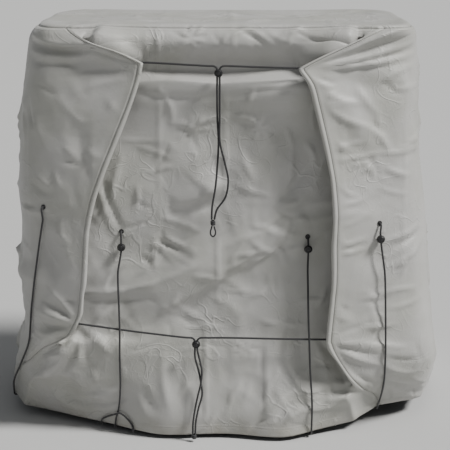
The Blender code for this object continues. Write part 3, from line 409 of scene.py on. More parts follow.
# The bridle's two legs, each from the top of its arch over the cord down to the hem
LEFT_LEG = [
    Stop(-0.2545, 0.0560, 0.0010), Stop(-0.2640, 0.0520, 0.0010), Stop(-0.2840, 0.0400, 0.000),
    Stop(-0.3000, 0.0260, 0.000), Stop(-0.3060, 0.0000, 0.000),
]
RIGHT_LEG = [
    Stop(-0.2545, 0.0560, 0.0010), Stop(-0.2460, 0.0520, 0.0010), Stop(-0.2330, 0.0400, 0.000),
    Stop(-0.2230, 0.0260, 0.000), Stop(-0.2190, 0.0000, 0.000),
]

# The small loop under the upper knot
LOOP = [
    Vector((-0.0259, -0.0260, 0.5355)),
    Vector((-0.0270, -0.0262, 0.5300)),
    Vector((-0.0290, -0.0264, 0.5230)),
    Vector((-0.0280, -0.0266, 0.5150)),
    Vector((-0.0231, -0.0266, 0.5110)),
    Vector((-0.0182, -0.0266, 0.5150)),
    Vector((-0.0172, -0.0264, 0.5230)),
    Vector((-0.0192, -0.0262, 0.5300)),
    Vector((-0.0203, -0.0260, 0.5355)),
]

DRAWCORDS = [
    ("upper", UPPER_LEFT_RUN, UPPER_RIGHT_RUN, UPPER_TOGGLE, UPPER_LINE, UPPER_LEFT_TAIL, UPPER_RIGHT_TAIL,
     UPPER_KNOT),
    ("lower", LOWER_LEFT_RUN, LOWER_RIGHT_RUN, LOWER_TOGGLE, LOWER_LINE, LOWER_LEFT_TAIL, LOWER_RIGHT_TAIL,
     LOWER_KNOT),
]


def smooth(t):
    """Zero below 0, one above 1, eased between."""
    t = np.clip(t, 0.0, 1.0)
    return t * t * (3.0 - 2.0 * t)


def slopes(rows, column, i, breaks):
    """The eased slope of a table's column at row i, seen from below and from above."""
    def secant(k):
        return (rows[k + 1][column] - rows[k][column]) / (rows[k + 1].height - rows[k].height)

    if i == 0:
        return secant(0), secant(0)
    if i == len(rows) - 1:
        return secant(i - 1), secant(i - 1)
    before, after = secant(i - 1), secant(i)
    if rows[i].height in breaks:
        return before, after
    if before * after <= 0.0:
        return 0.0, 0.0
    mean = 2.0 * before * after / (before + after)
    return mean, mean


def ease(rows, height, breaks=()):
    """A table read at any height: eased from row to row, with a corner at each break."""
    height = max(rows[0].height, min(rows[-1].height, height))
    i = max(k for k in range(len(rows) - 1) if rows[k].height <= height)
    step = rows[i + 1].height - rows[i].height
    t = (height - rows[i].height) / step
    values = [height]
    for column in range(1, len(rows[0])):
        start, end = rows[i][column], rows[i + 1][column]
        out = slopes(rows, column, i, breaks)[1] * step
        into = slopes(rows, column, i + 1, breaks)[0] * step
        values.append(
            start * (1 + 2 * t) * (1 - t) ** 2 + out * t * (1 - t) ** 2
            + end * t * t * (3 - 2 * t) + into * t * t * (t - 1)
        )
    return type(rows[0])(*values)


def half_section(corner, side, rear_corner, rear, quarter):
    """The places of one half section, as distance from the middle and depth, rear first."""
    overlap = corner.pleat - corner.edge
    inner = max(-EDGE_REACH, min(EDGE_REACH, overlap * 0.3))
    share = inner / overlap if abs(overlap) > 1e-6 else 0.3
    folded = float(smooth(overlap / 0.03))
    wall_start = corner.corner_y + 0.07
    turned = Vector((corner.corner - corner.turn, corner.corner_y))
    edge = Vector((corner.edge, corner.edge_y))
    outward = (turned - edge).normalized() * EDGE_REACH
    seam = edge + outward
    flap = turned.lerp(seam, 0.5) + Vector((0.0, -0.004))
    flap_share = max(0.0, min(1.0, (corner.pleat - seam.x) / max(turned.x - seam.x, 0.001)))
    behind_flap = seam.y + (turned.y - seam.y) * flap_share + PLEAT_DEPTH
    pleat_y = corner.pleat_y + max(0.0, behind_flap - corner.pleat_y) * folded
    radius = min(EDGE_RADIUS * folded, max(0.0, pleat_y - corner.edge_y) / 4)
    rise = pleat_y - corner.edge_y - 3 * radius
    back = Vector((corner.edge + inner, corner.edge_y + 2 * radius + rise * share))
    pleat_in = Vector((corner.pleat - inner, pleat_y - radius - rise * share))
    pleat_out = Vector((corner.pleat - EDGE_REACH, pleat_y + radius))
    middle = Vector((0.15, quarter))
    return [
        Vector((0.0, rear)),
        Vector((rear_corner * 0.5, rear)),
        Vector((rear_corner - 0.045, rear - 0.004)),
        Vector((rear_corner, rear - 0.050)),
        Vector((side, (wall_start + rear - 0.050) / 2)),
        Vector((corner.corner, wall_start)),
        turned,
        flap,
        seam,
        edge + outward * 0.3,
        Vector((corner.edge, corner.edge_y + radius)),
        back,
        back.lerp(pleat_in, 0.5),
        pleat_in,
        Vector((corner.pleat, pleat_y)),
        pleat_out,
        pleat_out.lerp(middle, 0.5) + Vector((0.0, 0.002)),
        middle,
    ]


def section(height):
    """The cover's outline at a height: places round the whole of it, from the rear by the left."""
    wall = ease(WALLS, height)
    middle = ease(MIDDLE, height)
    left = ease(LEFT_CORNER, height, (LEFT_TIP_LOW, LEFT_TIP_HIGH))
    right = ease(RIGHT_CORNER, height, (RIGHT_TIP_LOW, RIGHT_TIP_HIGH))
    one = half_section(left, wall.left, wall.left_rear, wall.rear, middle.left)
    two = half_section(right, wall.right, wall.right_rear, wall.rear, middle.right)
    mirrored = [Vector((-p.x, p.y)) for p in one]
    return np.array(mirrored + [Vector((0.0, middle.centre))] + two[:0:-1])


def through(p0, p1, p2, p3, t):
    """Points between p1 and p2 on a smooth curve that neither loops nor overshoots."""
    knots = [0.0]
    for a, b in ((p0, p1), (p1, p2), (p2, p3)):
        knots.append(knots[-1] + max(float(np.linalg.norm(b - a)), 1e-5) ** 0.5)
    k0, k1, k2, k3 = knots
    k = (k1 + (k2 - k1) * np.asarray(t))[:, None]

    def blend(a, b, start, end):
        return a + (b - a) * ((k - start) / (end - start))

    a1, a2, a3 = blend(p0, p1, k0, k1), blend(p1, p2, k1, k2), blend(p2, p3, k2, k3)
    b1, b2 = blend(a1, a2, k0, k2), blend(a2, a3, k1, k3)
    return blend(b1, b2, k1, k2)


class Round:
    """The columns of points round the whole cover, with the places that they stand at."""

    def __init__(self):
        names = [(place, -1) for place in PLACES] + [(PLACES[-1]._replace(name="centre"), 0)]
        for i in range(len(PLACES) - 1, 0, -1):
            before = PLACES[i - 1]
            place = PLACES[i]._replace(columns=before.columns, points=before.points)
            names.append((place, 1))
        self.shares, self.start, self.fold_start = [], {}, {}
        columns, lifts = [], []
        count, fold_count = 0, 0
        for k, (place, side) in enumerate(names):
            t = np.arange(place.points) / place.points
            after = names[(k + 1) % len(names)][0].lift
            self.shares.append(t)
            self.start[place.name, side] = count
            self.fold_start[place.name, side] = fold_count
            columns.append(fold_count + t * place.columns)
            lifts.append(place.lift + (after - place.lift) * t)
            count += place.points
            fold_count += place.columns
        self.columns = np.concatenate(columns)
        self.lift = np.concatenate(lifts)
        self.count = count

    def weight(self, first, last, reach=2.0):
        """One on the columns well between two places, and nought outside them."""
        within = np.minimum(self.columns - self.fold_start[first], self.fold_start[last] - self.columns)
        return smooth(within / reach)


ROUND = Round()


def fold_rise(folds, across, up):
    """How far soft folds lift the cloth at points of a face."""
    total = np.zeros(np.broadcast(across, up).shape)
    for fold in folds:
        run, climb = fold.across_2 - fold.across_1, fold.height_2 - fold.height_1
        length = math.hypot(run, climb)
        along = ((across - fold.across_1) * run + (up - fold.height_1) * climb) / length ** 2
        aside = ((across - fold.across_1) * climb - (up - fold.height_1) * run) / length
        taper = np.sin(np.pi * np.clip(along, 0.0, 1.0)) ** 0.6
        total += fold.rise * taper * np.exp(-((aside / fold.width) ** 2))
    return total


def ring(height):
    """One row of the cloth's points round the cover, with the main folds in it."""
    places = section(height)
    count = len(places)
    plan = []
    for i, t in enumerate(ROUND.shares):
        corners = [places[(i + k) % count] for k in (-1, 0, 1, 2)]
        plan.append(through(*corners, t))
    plan = np.concatenate(plan)
    x, y = plan[:, 0].copy(), plan[:, 1].copy()
    middle = ROUND.weight(("pleat_out", -1), ("pleat_out", 1))
    left = ROUND.weight(("corner_turn", -1), ("seam", -1))
    right = ROUND.weight(("seam", 1), ("corner_turn", 1))
    left_side = ROUND.weight(("rear_corner", -1), ("corner", -1))
    right_side = ROUND.weight(("corner", 1), ("rear_corner", 1))
    rear = (y > DEPTH - 0.03) * smooth((0.42 - np.abs(x)) / 0.05)
    plan[:, 1] -= middle * fold_rise(MIDDLE_FOLDS, x, height)
    plan[:, 1] -= left * fold_rise(LEFT_FLAP_FOLDS, x, height)
    plan[:, 1] -= right * fold_rise(RIGHT_FLAP_FOLDS, x, height)
    plan[:, 0] -= left_side * fold_rise(SIDE_FOLDS, y, height)
    plan[:, 0] += right_side * fold_rise(SIDE_FOLDS, DEPTH - y, height)
    plan[:, 1] += rear * fold_rise(REAR_FOLDS, x, height)
    low = max(0.0, 1.0 - height / HEM_LIFT_REACH) ** 2
    return rounded_top(plan, height + ROUND.lift * low)


def rounded_top(plan, height):
    """Points of a wall, drawn in towards the top's rounded edge."""
    across = smooth(plan[:, 0] / 0.8 + 0.5)
    radius = TOP_ROUND_LEFT + (TOP_ROUND_RIGHT - TOP_ROUND_LEFT) * across
    over = np.maximum(0.0, height - (HEIGHT - radius))
    inset = radius - np.sqrt(np.maximum(0.0, radius ** 2 - over ** 2))
    x = plan[:, 0] * (1 - inset / 0.46)
    y = DEPTH / 2 + (plan[:, 1] - DEPTH / 2) * (1 - inset / 0.31)
    return np.stack([x, y, height], axis=1)


def outward_of(shell):
    """The way that the cloth faces at each point of the shell."""
    round_it = np.roll(shell, -1, axis=1) - np.roll(shell, 1, axis=1)
    up = np.gradient(shell, axis=0)
    facing = np.cross(round_it, up)
    return facing / np.maximum(np.linalg.norm(facing, axis=2, keepdims=True), 1e-9)


def crease_rise(creases, across, up):
    """How far creases lift the cloth: each is a bowed line with a crest or a trough along it."""
    total = np.zeros(across.shape)
    for crease in creases:
        run, climb = crease.across_2 - crease.across_1, crease.height_2 - crease.height_1
        length = math.hypot(run, climb)
        reach = crease.width * 3.5 + abs(crease.bow)
        near = (across > min(crease.across_1, crease.across_2) - reach)
        near &= (across < max(crease.across_1, crease.across_2) + reach)
        near &= (up > min(crease.height_1, crease.height_2) - reach)
        near &= (up < max(crease.height_1, crease.height_2) + reach)
        a, b = across[near], up[near]
        along = ((a - crease.across_1) * run + (b - crease.height_1) * climb) / length ** 2
        aside = ((a - crease.across_1) * climb - (b - crease.height_1) * run) / length
        inside = np.clip(along, 0.0, 1.0)
        aside = aside - crease.bow * 4 * inside * (1 - inside)
        past = np.maximum(np.abs(along - 0.5) - 0.5, 0.0) * length
        taper = np.sin(np.pi * (0.06 + 0.88 * inside)) ** 0.7 * np.exp(-((past / crease.width) ** 2))
        sharp = np.sqrt(aside ** 2 + (0.22 * crease.width) ** 2) - 0.22 * crease.width
        total[near] += CREASE_DEPTH * crease.rise * taper * np.exp(-1.6 * sharp / crease.width)
    return total


# Sharp creases, each a bowed crest, or a valley where its rise is negative
Crease = namedtuple("Crease", "across_1 height_1 across_2 height_2 bow width rise")


def creases(*rows):
    """One face's table of creases."""
    return [Crease(*row) for row in rows]


MIDDLE_CREASES = creases(
    # The feet, under the tips of the flaps
    (-0.353, 0.283, -0.448, 0.200, -0.010, 0.012, -0.0060),
    (-0.350, 0.268, -0.425, 0.200, -0.012, 0.018, 0.0075),
    (-0.425, 0.200, -0.444, 0.140, -0.010, 0.018, 0.0065),
    (-0.350, 0.255, -0.400, 0.150, -0.010, 0.013, -0.0060),
    (-0.345, 0.250, -0.375, 0.165, -0.012, 0.016, 0.0065),
    (-0.375, 0.165, -0.345, 0.100, -0.012, 0.018, 0.0070),
    (-0.340, 0.260, -0.300, 0.160, 0.012, 0.014, -0.0045),
    (-0.320, 0.190, -0.318, 0.120, -0.008, 0.010, 0.0040),
    (-0.353, 0.090, -0.250, 0.125, 0.010, 0.012, 0.0046),
    (-0.345, 0.070, -0.250, 0.090, 0.010, 0.012, -0.0046),
    (-0.430, 0.090, -0.350, 0.050, 0.014, 0.016, 0.0050),
    (-0.345, 0.285, -0.270, 0.215, 0.004, 0.012, 0.0036),
    (0.255, 0.240, 0.345, 0.110, -0.012, 0.013, 0.0056),
    (0.240, 0.235, 0.300, 0.120, -0.010, 0.012, -0.0046),
    (0.225, 0.235, 0.255, 0.110, -0.008, 0.014, 0.0046),
    # The band above the upper cord, drawn forward to the flaps' edges
    (-0.370, 0.992, -0.185, 0.922, 0.000, 0.040, 0.0130),
    (0.370, 0.990, 0.175, 0.912, 0.000, 0.040, 0.0130),
    (-0.148, 0.922, -0.149, 0.990, 0.000, 0.004, 0.0014),
    (0.024, 0.920, 0.022, 0.990, 0.000, 0.004, 0.0020),
    (0.034, 0.990, 0.100, 0.950, -0.004, 0.007, -0.0024),
    (0.044, 0.995, 0.112, 0.958, -0.004, 0.006, 0.0020),
    (0.165, 0.985, 0.255, 0.962, 0.006, 0.006, -0.0020),
    (0.100, 0.985, 0.175, 0.960, 0.006, 0.014, 0.0024),
    (-0.130, 0.945, -0.100, 0.925, 0.002, 0.006, 0.0014),
    # The ledge under the upper cord, and the slack hung from it
    (-0.205, 0.888, -0.016, 0.868, 0.006, 0.007, 0.0034),
    (0.002, 0.866, 0.180, 0.886, -0.006, 0.007, 0.0034),
    (-0.200, 0.846, -0.020, 0.838, 0.010, 0.016, -0.0042),
    (0.020, 0.836, 0.180, 0.850, -0.010, 0.016, -0.0042),
    (-0.145, 0.850, -0.118, 0.775, -0.010, 0.008, 0.0028),
    (-0.118, 0.775, -0.070, 0.760, -0.006, 0.007, 0.0030),
    (-0.070, 0.760, -0.005, 0.785, -0.008, 0.007, 0.0030),
    (0.020, 0.790, 0.088, 0.768, -0.006, 0.008, 0.0026),
    (0.145, 0.765, 0.162, 0.718, -0.003, 0.005, 0.0022),
    (0.162, 0.718, 0.160, 0.650, -0.002, 0.005, 0.0020),
    (0.040, 0.718, 0.075, 0.635, 0.003, 0.006, 0.0026),
    (0.022, 0.635, 0.110, 0.604, 0.005, 0.006, 0.0026),
    (0.110, 0.570, 0.210, 0.687, 0.006, 0.016, -0.0040),
    (0.150, 0.580, 0.180, 0.594, 0.002, 0.006, 0.0020),
    (-0.238, 0.732, -0.147, 0.731, 0.000, 0.004, 0.0014),
    (-0.300, 0.660, -0.262, 0.520, 0.004, 0.008, 0.0034),
    (-0.285, 0.650, -0.240, 0.520, 0.004, 0.008, -0.0034),
    (-0.240, 0.690, -0.262, 0.560, 0.006, 0.010, 0.0026),
    # Long folds across the middle
    (-0.110, 0.585, -0.009, 0.629, 0.006, 0.014, 0.0044),
    (-0.080, 0.560, 0.010, 0.596, 0.004, 0.010, -0.0028),
    (-0.330, 0.364, -0.214, 0.376, 0.004, 0.009, 0.0040),
    (-0.214, 0.376, -0.160, 0.394, 0.002, 0.009, 0.0040),
    (-0.310, 0.340, -0.180, 0.350, 0.004, 0.016, -0.0048),
    (-0.160, 0.394, -0.009, 0.474, 0.008, 0.014, 0.0036),
    (-0.009, 0.474, 0.110, 0.520, -0.004, 0.012, 0.0024),
    (-0.110, 0.290, 0.010, 0.400, -0.006, 0.020, -0.0048),
    (0.010, 0.400, 0.190, 0.500, 0.006, 0.018, -0.0036),
    (-0.140, 0.330, 0.000, 0.420, 0.006, 0.016, 0.0030),
    (-0.169, 0.504, -0.110, 0.438, 0.005, 0.007, 0.0024),
    (-0.150, 0.516, -0.128, 0.470, -0.003, 0.006, -0.0020),
    (-0.145, 0.333, -0.080, 0.300, 0.003, 0.006, 0.0020),
    (-0.120, 0.345, -0.052, 0.300, 0.003, 0.006, 0.0020),
    (-0.125, 0.320, -0.060, 0.284, 0.003, 0.006, -0.0016),
    (0.064, 0.498, 0.134, 0.458, 0.004, 0.006, 0.0024),
    (0.134, 0.458, 0.190, 0.478, -0.004, 0.006, 0.0024),
    (0.134, 0.458, 0.150, 0.430, 0.002, 0.005, 0.0018),
    (0.112, 0.415, 0.118, 0.372, 0.003, 0.005, 0.0020),
    (0.128, 0.410, 0.136, 0.370, -0.003, 0.005, 0.0018),
    (0.180, 0.340, 0.238, 0.345, -0.003, 0.006, 0.0022),
    (0.092, 0.298, 0.140, 0.288, 0.003, 0.006, 0.0022),
    (0.140, 0.288, 0.188, 0.280, -0.003, 0.006, 0.0020),
    # Under the lower cord
    (-0.240, 0.215, -0.125, 0.258, 0.004, 0.016, -0.0040),
    (-0.145, 0.220, -0.130, 0.080, 0.006, 0.018, 0.0036),
    (-0.100, 0.220, -0.095, 0.080, 0.006, 0.018, -0.0030),
    (0.105, 0.060, 0.169, 0.122, -0.006, 0.008, 0.0034),
    (0.169, 0.122, 0.238, 0.128, 0.004, 0.008, 0.0034),
    (0.130, 0.060, 0.180, 0.098, -0.006, 0.007, -0.0026),
    (0.180, 0.098, 0.250, 0.104, 0.004, 0.007, -0.0026),
    (0.150, 0.050, 0.200, 0.080, -0.006, 0.008, 0.0030),
    (0.200, 0.080, 0.285, 0.085, 0.004, 0.008, 0.0030),
    (0.070, 0.030, 0.110, 0.060, -0.004, 0.008, -0.0030),
    (-0.205, 0.106, -0.180, 0.050, 0.003, 0.008, 0.0024),
    (-0.190, 0.120, -0.160, 0.070, 0.003, 0.007, -0.0020),
    # Lines left by packing
    (-0.147, 0.865, -0.148, 0.622, 0.000, 0.004, 0.0016),
    (-0.148, 0.622, -0.150, 0.500, 0.000, 0.004, 0.0010),
    (0.006, 0.842, 0.007, 0.560, 0.000, 0.004, 0.0018),
    (-0.013, 0.500, -0.014, 0.345, 0.000, 0.004, 0.0022),
    (-0.041, 0.290, -0.042, 0.050, 0.000, 0.005, 0.0022),
    (0.107, 0.270, 0.106, 0.060, 0.000, 0.004, 0.0014),
    (0.173, 0.262, 0.172, 0.140, 0.000, 0.004, 0.0010),
    (0.020, 0.585, 0.200, 0.584, 0.000, 0.004, 0.0010),
    (-0.250, 0.432, -0.050, 0.431, 0.000, 0.004, 0.0008),
)
LEFT_FLAP_CREASES = creases(
    (-0.445, 0.975, -0.300, 0.962, 0.010, 0.011, 0.0050),
    (-0.300, 0.962, -0.186, 0.918, 0.006, 0.008, 0.0034),
    (-0.445, 0.958, -0.290, 0.946, 0.008, 0.009, -0.0044),
    (-0.290, 0.946, -0.192, 0.917, 0.004, 0.007, -0.0026),
    (-0.445, 0.938, -0.300, 0.934, 0.010, 0.009, 0.0044),
    (-0.300, 0.934, -0.192, 0.914, 0.004, 0.008, 0.0028),
    (-0.440, 0.915, -0.330, 0.918, 0.008, 0.009, -0.0030),
    (-0.370, 0.880, -0.205, 0.900, -0.008, 0.012, -0.0020),
    (-0.330, 0.850, -0.220, 0.880, -0.006, 0.012, 0.0018),
    (-0.437, 0.651, -0.394, 0.622, 0.004, 0.008, 0.0026),
    (-0.445, 0.630, -0.410, 0.606, 0.004, 0.007, -0.0020),
    (-0.320, 0.720, -0.270, 0.700, 0.006, 0.010, 0.0016),
    (-0.440, 0.800, -0.400, 0.700, 0.010, 0.016, 0.0020),
    (-0.330, 0.760, -0.300, 0.640, 0.008, 0.016, -0.0020),
    (-0.380, 0.560, -0.350, 0.440, 0.008, 0.016, 0.0026),
    (-0.440, 0.500, -0.400, 0.400, -0.008, 0.016, -0.0026),
    (-0.343, 0.300, -0.412, 0.376, 0.004, 0.010, 0.0044),
    (-0.345, 0.298, -0.430, 0.345, 0.004, 0.008, -0.0034),
    (-0.346, 0.296, -0.450, 0.318, 0.005, 0.009, 0.0044),
    (-0.350, 0.290, -0.440, 0.290, -0.004, 0.008, -0.0034),
    (-0.356, 0.284, -0.450, 0.262, -0.006, 0.010, 0.0040),
    (-0.420, 0.220, -0.480, 0.150, 0.008, 0.014, 0.0040),
    (-0.400, 0.210, -0.420, 0.130, 0.008, 0.014, -0.0034),
    (-0.460, 0.130, -0.500, 0.040, 0.006, 0.014, 0.0036),
    (-0.300, 0.800, -0.302, 0.480, 0.000, 0.004, 0.0010),
    (-0.455, 0.820, -0.456, 0.380, 0.000, 0.004, 0.0010),
)
RIGHT_FLAP_CREASES = creases(
    # Long folds drawn from the upper tip to the corner
    (0.176, 0.907, 0.300, 0.950, -0.006, 0.008, 0.0040),
    (0.300, 0.950, 0.425, 0.990, -0.006, 0.010, 0.0044),
    (0.180, 0.906, 0.440, 0.975, 0.004, 0.008, -0.0036),
    (0.180, 0.905, 0.445, 0.958, 0.006, 0.007, 0.0036),
    (0.182, 0.904, 0.448, 0.943, 0.006, 0.006, -0.0032),
    (0.182, 0.902, 0.450, 0.930, 0.007, 0.006, 0.0034),
    (0.185, 0.900, 0.430, 0.914, 0.006, 0.007, -0.0026),
    (0.185, 0.893, 0.240, 0.862, 0.004, 0.007, 0.0030),
    (0.200, 0.892, 0.260, 0.870, 0.003, 0.005, -0.0020),
    (0.238, 0.847, 0.308, 0.823, 0.004, 0.007, 0.0032),
    (0.238, 0.817, 0.331, 0.769, 0.006, 0.007, 0.0032),
    (0.331, 0.769, 0.390, 0.710, -0.004, 0.006, 0.0028),
    (0.308, 0.859, 0.355, 0.800, 0.004, 0.007, 0.0026),
    (0.355, 0.800, 0.385, 0.712, 0.004, 0.007, 0.0024),
    (0.246, 0.715, 0.330, 0.735, -0.003, 0.005, 0.0022),
    (0.250, 0.694, 0.366, 0.708, 0.003, 0.005, 0.0028),
    (0.366, 0.706, 0.450, 0.706, 0.003, 0.005, 0.0026),
    (0.290, 0.680, 0.330, 0.690, 0.004, 0.005, 0.0022),
    (0.320, 0.690, 0.350, 0.665, 0.004, 0.005, 0.0022),
    (0.378, 0.672, 0.440, 0.648, 0.004, 0.007, 0.0032),
    (0.366, 0.625, 0.436, 0.604, 0.004, 0.005, 0.0020),
    (0.273, 0.590, 0.330, 0.600, 0.003, 0.005, 0.0020),
    (0.270, 0.540, 0.330, 0.560, 0.004, 0.007, 0.0018),
    (0.255, 0.489, 0.331, 0.507, 0.002, 0.005, 0.0026),
    (0.255, 0.480, 0.331, 0.494, 0.002, 0.004, -0.0020),
    (0.256, 0.472, 0.335, 0.482, 0.002, 0.005, 0.0024),
    (0.378, 0.496, 0.464, 0.524, 0.004, 0.006, 0.0026),
    (0.390, 0.480, 0.470, 0.508, 0.004, 0.006, -0.0022),
    (0.378, 0.405, 0.440, 0.440, -0.008, 0.007, 0.0028),
    (0.440, 0.440, 0.470, 0.480, -0.004, 0.007, 0.0026),
    (0.330, 0.360, 0.380, 0.370, 0.004, 0.005, 0.0024),
    (0.380, 0.368, 0.464, 0.372, -0.003, 0.006, 0.0026),
    (0.340, 0.350, 0.400, 0.352, 0.004, 0.005, -0.0020),
    (0.400, 0.330, 0.480, 0.345, 0.004, 0.008, 0.0026),
    # The fan from the lower tip
    (0.250, 0.258, 0.330, 0.250, 0.003, 0.008, 0.0036),
    (0.330, 0.250, 0.395, 0.236, 0.003, 0.006, 0.0026),
    (0.250, 0.264, 0.380, 0.300, -0.006, 0.009, -0.0026),
    (0.252, 0.254, 0.390, 0.185, 0.008, 0.010, 0.0044),
    (0.252, 0.256, 0.380, 0.215, 0.006, 0.008, -0.0034),
    (0.250, 0.248, 0.370, 0.130, 0.012, 0.009, -0.0044),
    (0.250, 0.246, 0.350, 0.110, 0.012, 0.009, 0.0044),
    (0.390, 0.240, 0.440, 0.228, 0.003, 0.006, 0.0026),
    (0.395, 0.180, 0.470, 0.150, 0.006, 0.009, 0.0034),
    (0.400, 0.205, 0.480, 0.190, 0.006, 0.008, -0.0026),
    (0.380, 0.150, 0.470, 0.100, 0.008, 0.012, -0.0040),
    (0.430, 0.110, 0.500, 0.050, 0.006, 0.014, 0.0036),
    (0.275, 0.828, 0.276, 0.500, 0.000, 0.004, 0.0010),
    (0.428, 0.860, 0.429, 0.300, 0.000, 0.004, 0.0012),
)
# Lobes that stand out along the left edge, seen from the front
LEFT_SIDE_LOBES = creases(
    (0.050, 0.450, 0.300, 0.425, 0.006, 0.014, 0.0070),
    (0.050, 0.400, 0.300, 0.385, 0.006, 0.014, -0.0050),
    (0.060, 0.250, 0.280, 0.215, 0.006, 0.014, -0.0045),
    (0.060, 0.620, 0.260, 0.600, 0.006, 0.012, 0.0030),
)
SIDE_CREASES = creases(
    (0.080, 0.820, 0.300, 0.700, 0.014, 0.016, 0.0045),
    (0.250, 0.560, 0.480, 0.480, -0.010, 0.014, 0.0040),
    (0.090, 0.420, 0.260, 0.300, 0.010, 0.014, -0.0040),
    (0.300, 0.240, 0.380, 0.040, 0.008, 0.016, 0.0050),
    (0.450, 0.220, 0.500, 0.030, 0.008, 0.016, -0.0046),
    (0.160, 0.180, 0.180, 0.040, 0.006, 0.014, 0.0045),
    (0.180, 0.940, 0.181, 0.280, 0.000, 0.004, 0.0014),
    (0.335, 0.940, 0.334, 0.120, 0.000, 0.004, 0.0014),
    (0.490, 0.900, 0.491, 0.200, 0.000, 0.004, 0.0014),
    (0.060, 0.732, 0.560, 0.731, 0.000, 0.004, 0.0014),
    (0.060, 0.432, 0.580, 0.431, 0.000, 0.004, 0.0012),
)
REAR_CREASES = creases(
    (-0.360, 0.900, -0.080, 0.800, 0.014, 0.016, 0.0046),
    (0.060, 0.720, 0.340, 0.600, -0.014, 0.016, 0.0044),
    (-0.300, 0.520, 0.000, 0.400, 0.014, 0.018, -0.0044),
    (-0.200, 0.260, -0.160, 0.030, 0.006, 0.016, 0.0050),
    (0.120, 0.300, 0.100, 0.030, 0.008, 0.018, 0.0050),
    (0.260, 0.240, 0.280, 0.030, 0.006, 0.014, -0.0046),
    (-0.300, 0.960, -0.301, 0.100, 0.000, 0.004, 0.0014),
    (-0.148, 0.960, -0.149, 0.100, 0.000, 0.004, 0.0014),
    (0.006, 0.960, 0.005, 0.100, 0.000, 0.004, 0.0014),
    (0.156, 0.960, 0.155, 0.100, 0.000, 0.004, 0.0014),
    (0.308, 0.960, 0.309, 0.100, 0.000, 0.004, 0.0014),
    (-0.420, 0.732, 0.420, 0.731, 0.000, 0.004, 0.0014),
    (-0.420, 0.432, 0.420, 0.431, 0.000, 0.004, 0.0012),
)
TOP_CREASES = creases(
    (-0.150, 0.030, -0.151, 0.590, 0.000, 0.004, 0.0014),
    (0.024, 0.030, 0.023, 0.590, 0.000, 0.004, 0.0016),
    (0.190, 0.030, 0.191, 0.590, 0.000, 0.004, 0.0014),
    (-0.320, 0.030, -0.321, 0.590, 0.000, 0.004, 0.0014),
    (-0.420, 0.200, 0.420, 0.201, 0.000, 0.004, 0.0014),
    (-0.420, 0.420, 0.420, 0.421, 0.000, 0.004, 0.0014),
    (-0.260, 0.060, -0.180, 0.160, 0.010, 0.012, 0.0034),
    (0.060, 0.050, 0.120, 0.140, -0.008, 0.012, 0.0034),
    (0.260, 0.060, 0.330, 0.180, 0.010, 0.012, -0.0030),
    (-0.080, 0.300, 0.040, 0.380, 0.010, 0.014, 0.0034),
    (0.180, 0.360, 0.300, 0.480, -0.010, 0.014, 0.0034),
)

# Where small crinkles are thickest on each face: how many, the area that they lie in, and their lean
Crinkles = namedtuple("Crinkles", "count across_1 across_2 height_1 height_2 lean spread")
MIDDLE_CRINKLES = [
    Crinkles(46, -0.300, 0.240, 0.260, 0.860, 0.4, 0.9),
    Crinkles(14, -0.180, 0.180, 0.925, 0.985, 0.7, 0.9),
    Crinkles(18, -0.300, 0.260, 0.040, 0.240, 1.4, 0.5),
    Crinkles(10, 0.060, 0.190, 0.440, 0.560, 0.3, 0.5),
    Crinkles(8, -0.190, -0.090, 0.430, 0.520, -0.8, 0.4),
]
LEFT_FLAP_CRINKLES = [
    Crinkles(24, -0.480, -0.220, 0.300, 0.930, -0.5, 0.8),
    Crinkles(10, -0.520, -0.360, 0.060, 0.290, -0.9, 0.5),
]
RIGHT_FLAP_CRINKLES = [
    Crinkles(30, 0.210, 0.480, 0.280, 0.930, 0.0, 0.7),
    Crinkles(10, 0.300, 0.520, 0.040, 0.240, -0.8, 0.5),
]
SIDE_CRINKLES = [Crinkles(40, 0.060, 0.560, 0.040, 0.940, 0.2, 1.2)]
REAR_CRINKLES = [Crinkles(60, -0.420, 0.420, 0.040, 0.940, 0.2, 1.2)]
TOP_CRINKLES = [Crinkles(60, -0.420, 0.420, 0.040, 0.580, 0.6, 1.2)]


# Small stars where packing creases cross: their middle, how far their rays reach, and how many
Star = namedtuple("Star", "across height reach rays")
MIDDLE_STARS = [
    Star(-0.075, 0.968, 0.050, 7), Star(-0.070, 0.757, 0.040, 7), Star(0.088, 0.765, 0.042, 7),
    Star(0.057, 0.228, 0.032, 8), Star(-0.045, 0.604, 0.026, 5),
]
RIGHT_STARS = [Star(0.350, 0.672, 0.030, 6)]


def rays(stars, seed):
    """The short creases that run out from each star, ridge and valley by turns."""
    chance = random.Random(seed)
    made = []
    for star in stars:
        start = chance.uniform(0.0, 1.0)
        for k in range(star.rays * 2):
            turn = start + math.pi * k / star.rays + chance.uniform(-0.16, 0.16)
            reach = star.reach * chance.uniform(0.45, 1.0)
            rise = (0.0021 if k % 2 else -0.0016) * chance.uniform(0.6, 1.2)
            made.append(Crease(
                star.across + math.cos(turn) * 0.003, star.height + math.sin(turn) * 0.003,
                star.across + math.cos(turn) * reach, star.height + math.sin(turn) * reach,
                chance.uniform(-0.003, 0.003), 0.0045, rise,
            ))
    return made


def scattered(groups, seed):
    """Small crinkles spread over the areas of a face, the same at each run."""
    chance = random.Random(seed)
    made = []
    for group in groups:
        for _ in range(group.count):
            across = chance.uniform(group.across_1, group.across_2)
            height = chance.uniform(group.height_1, group.height_2)
            lean = chance.gauss(group.lean, group.spread)
            reach = chance.uniform(0.016, 0.048)
            rise = chance.choice((1, 1, -1)) * chance.uniform(0.0012, 0.0030)
            run, climb = math.cos(lean) * reach, math.sin(lean) * reach
            made.append(Crease(
                across - run, height - climb, across + run, height + climb,
                chance.uniform(-0.006, 0.006), chance.uniform(0.004, 0.007), rise,
            ))
    return made


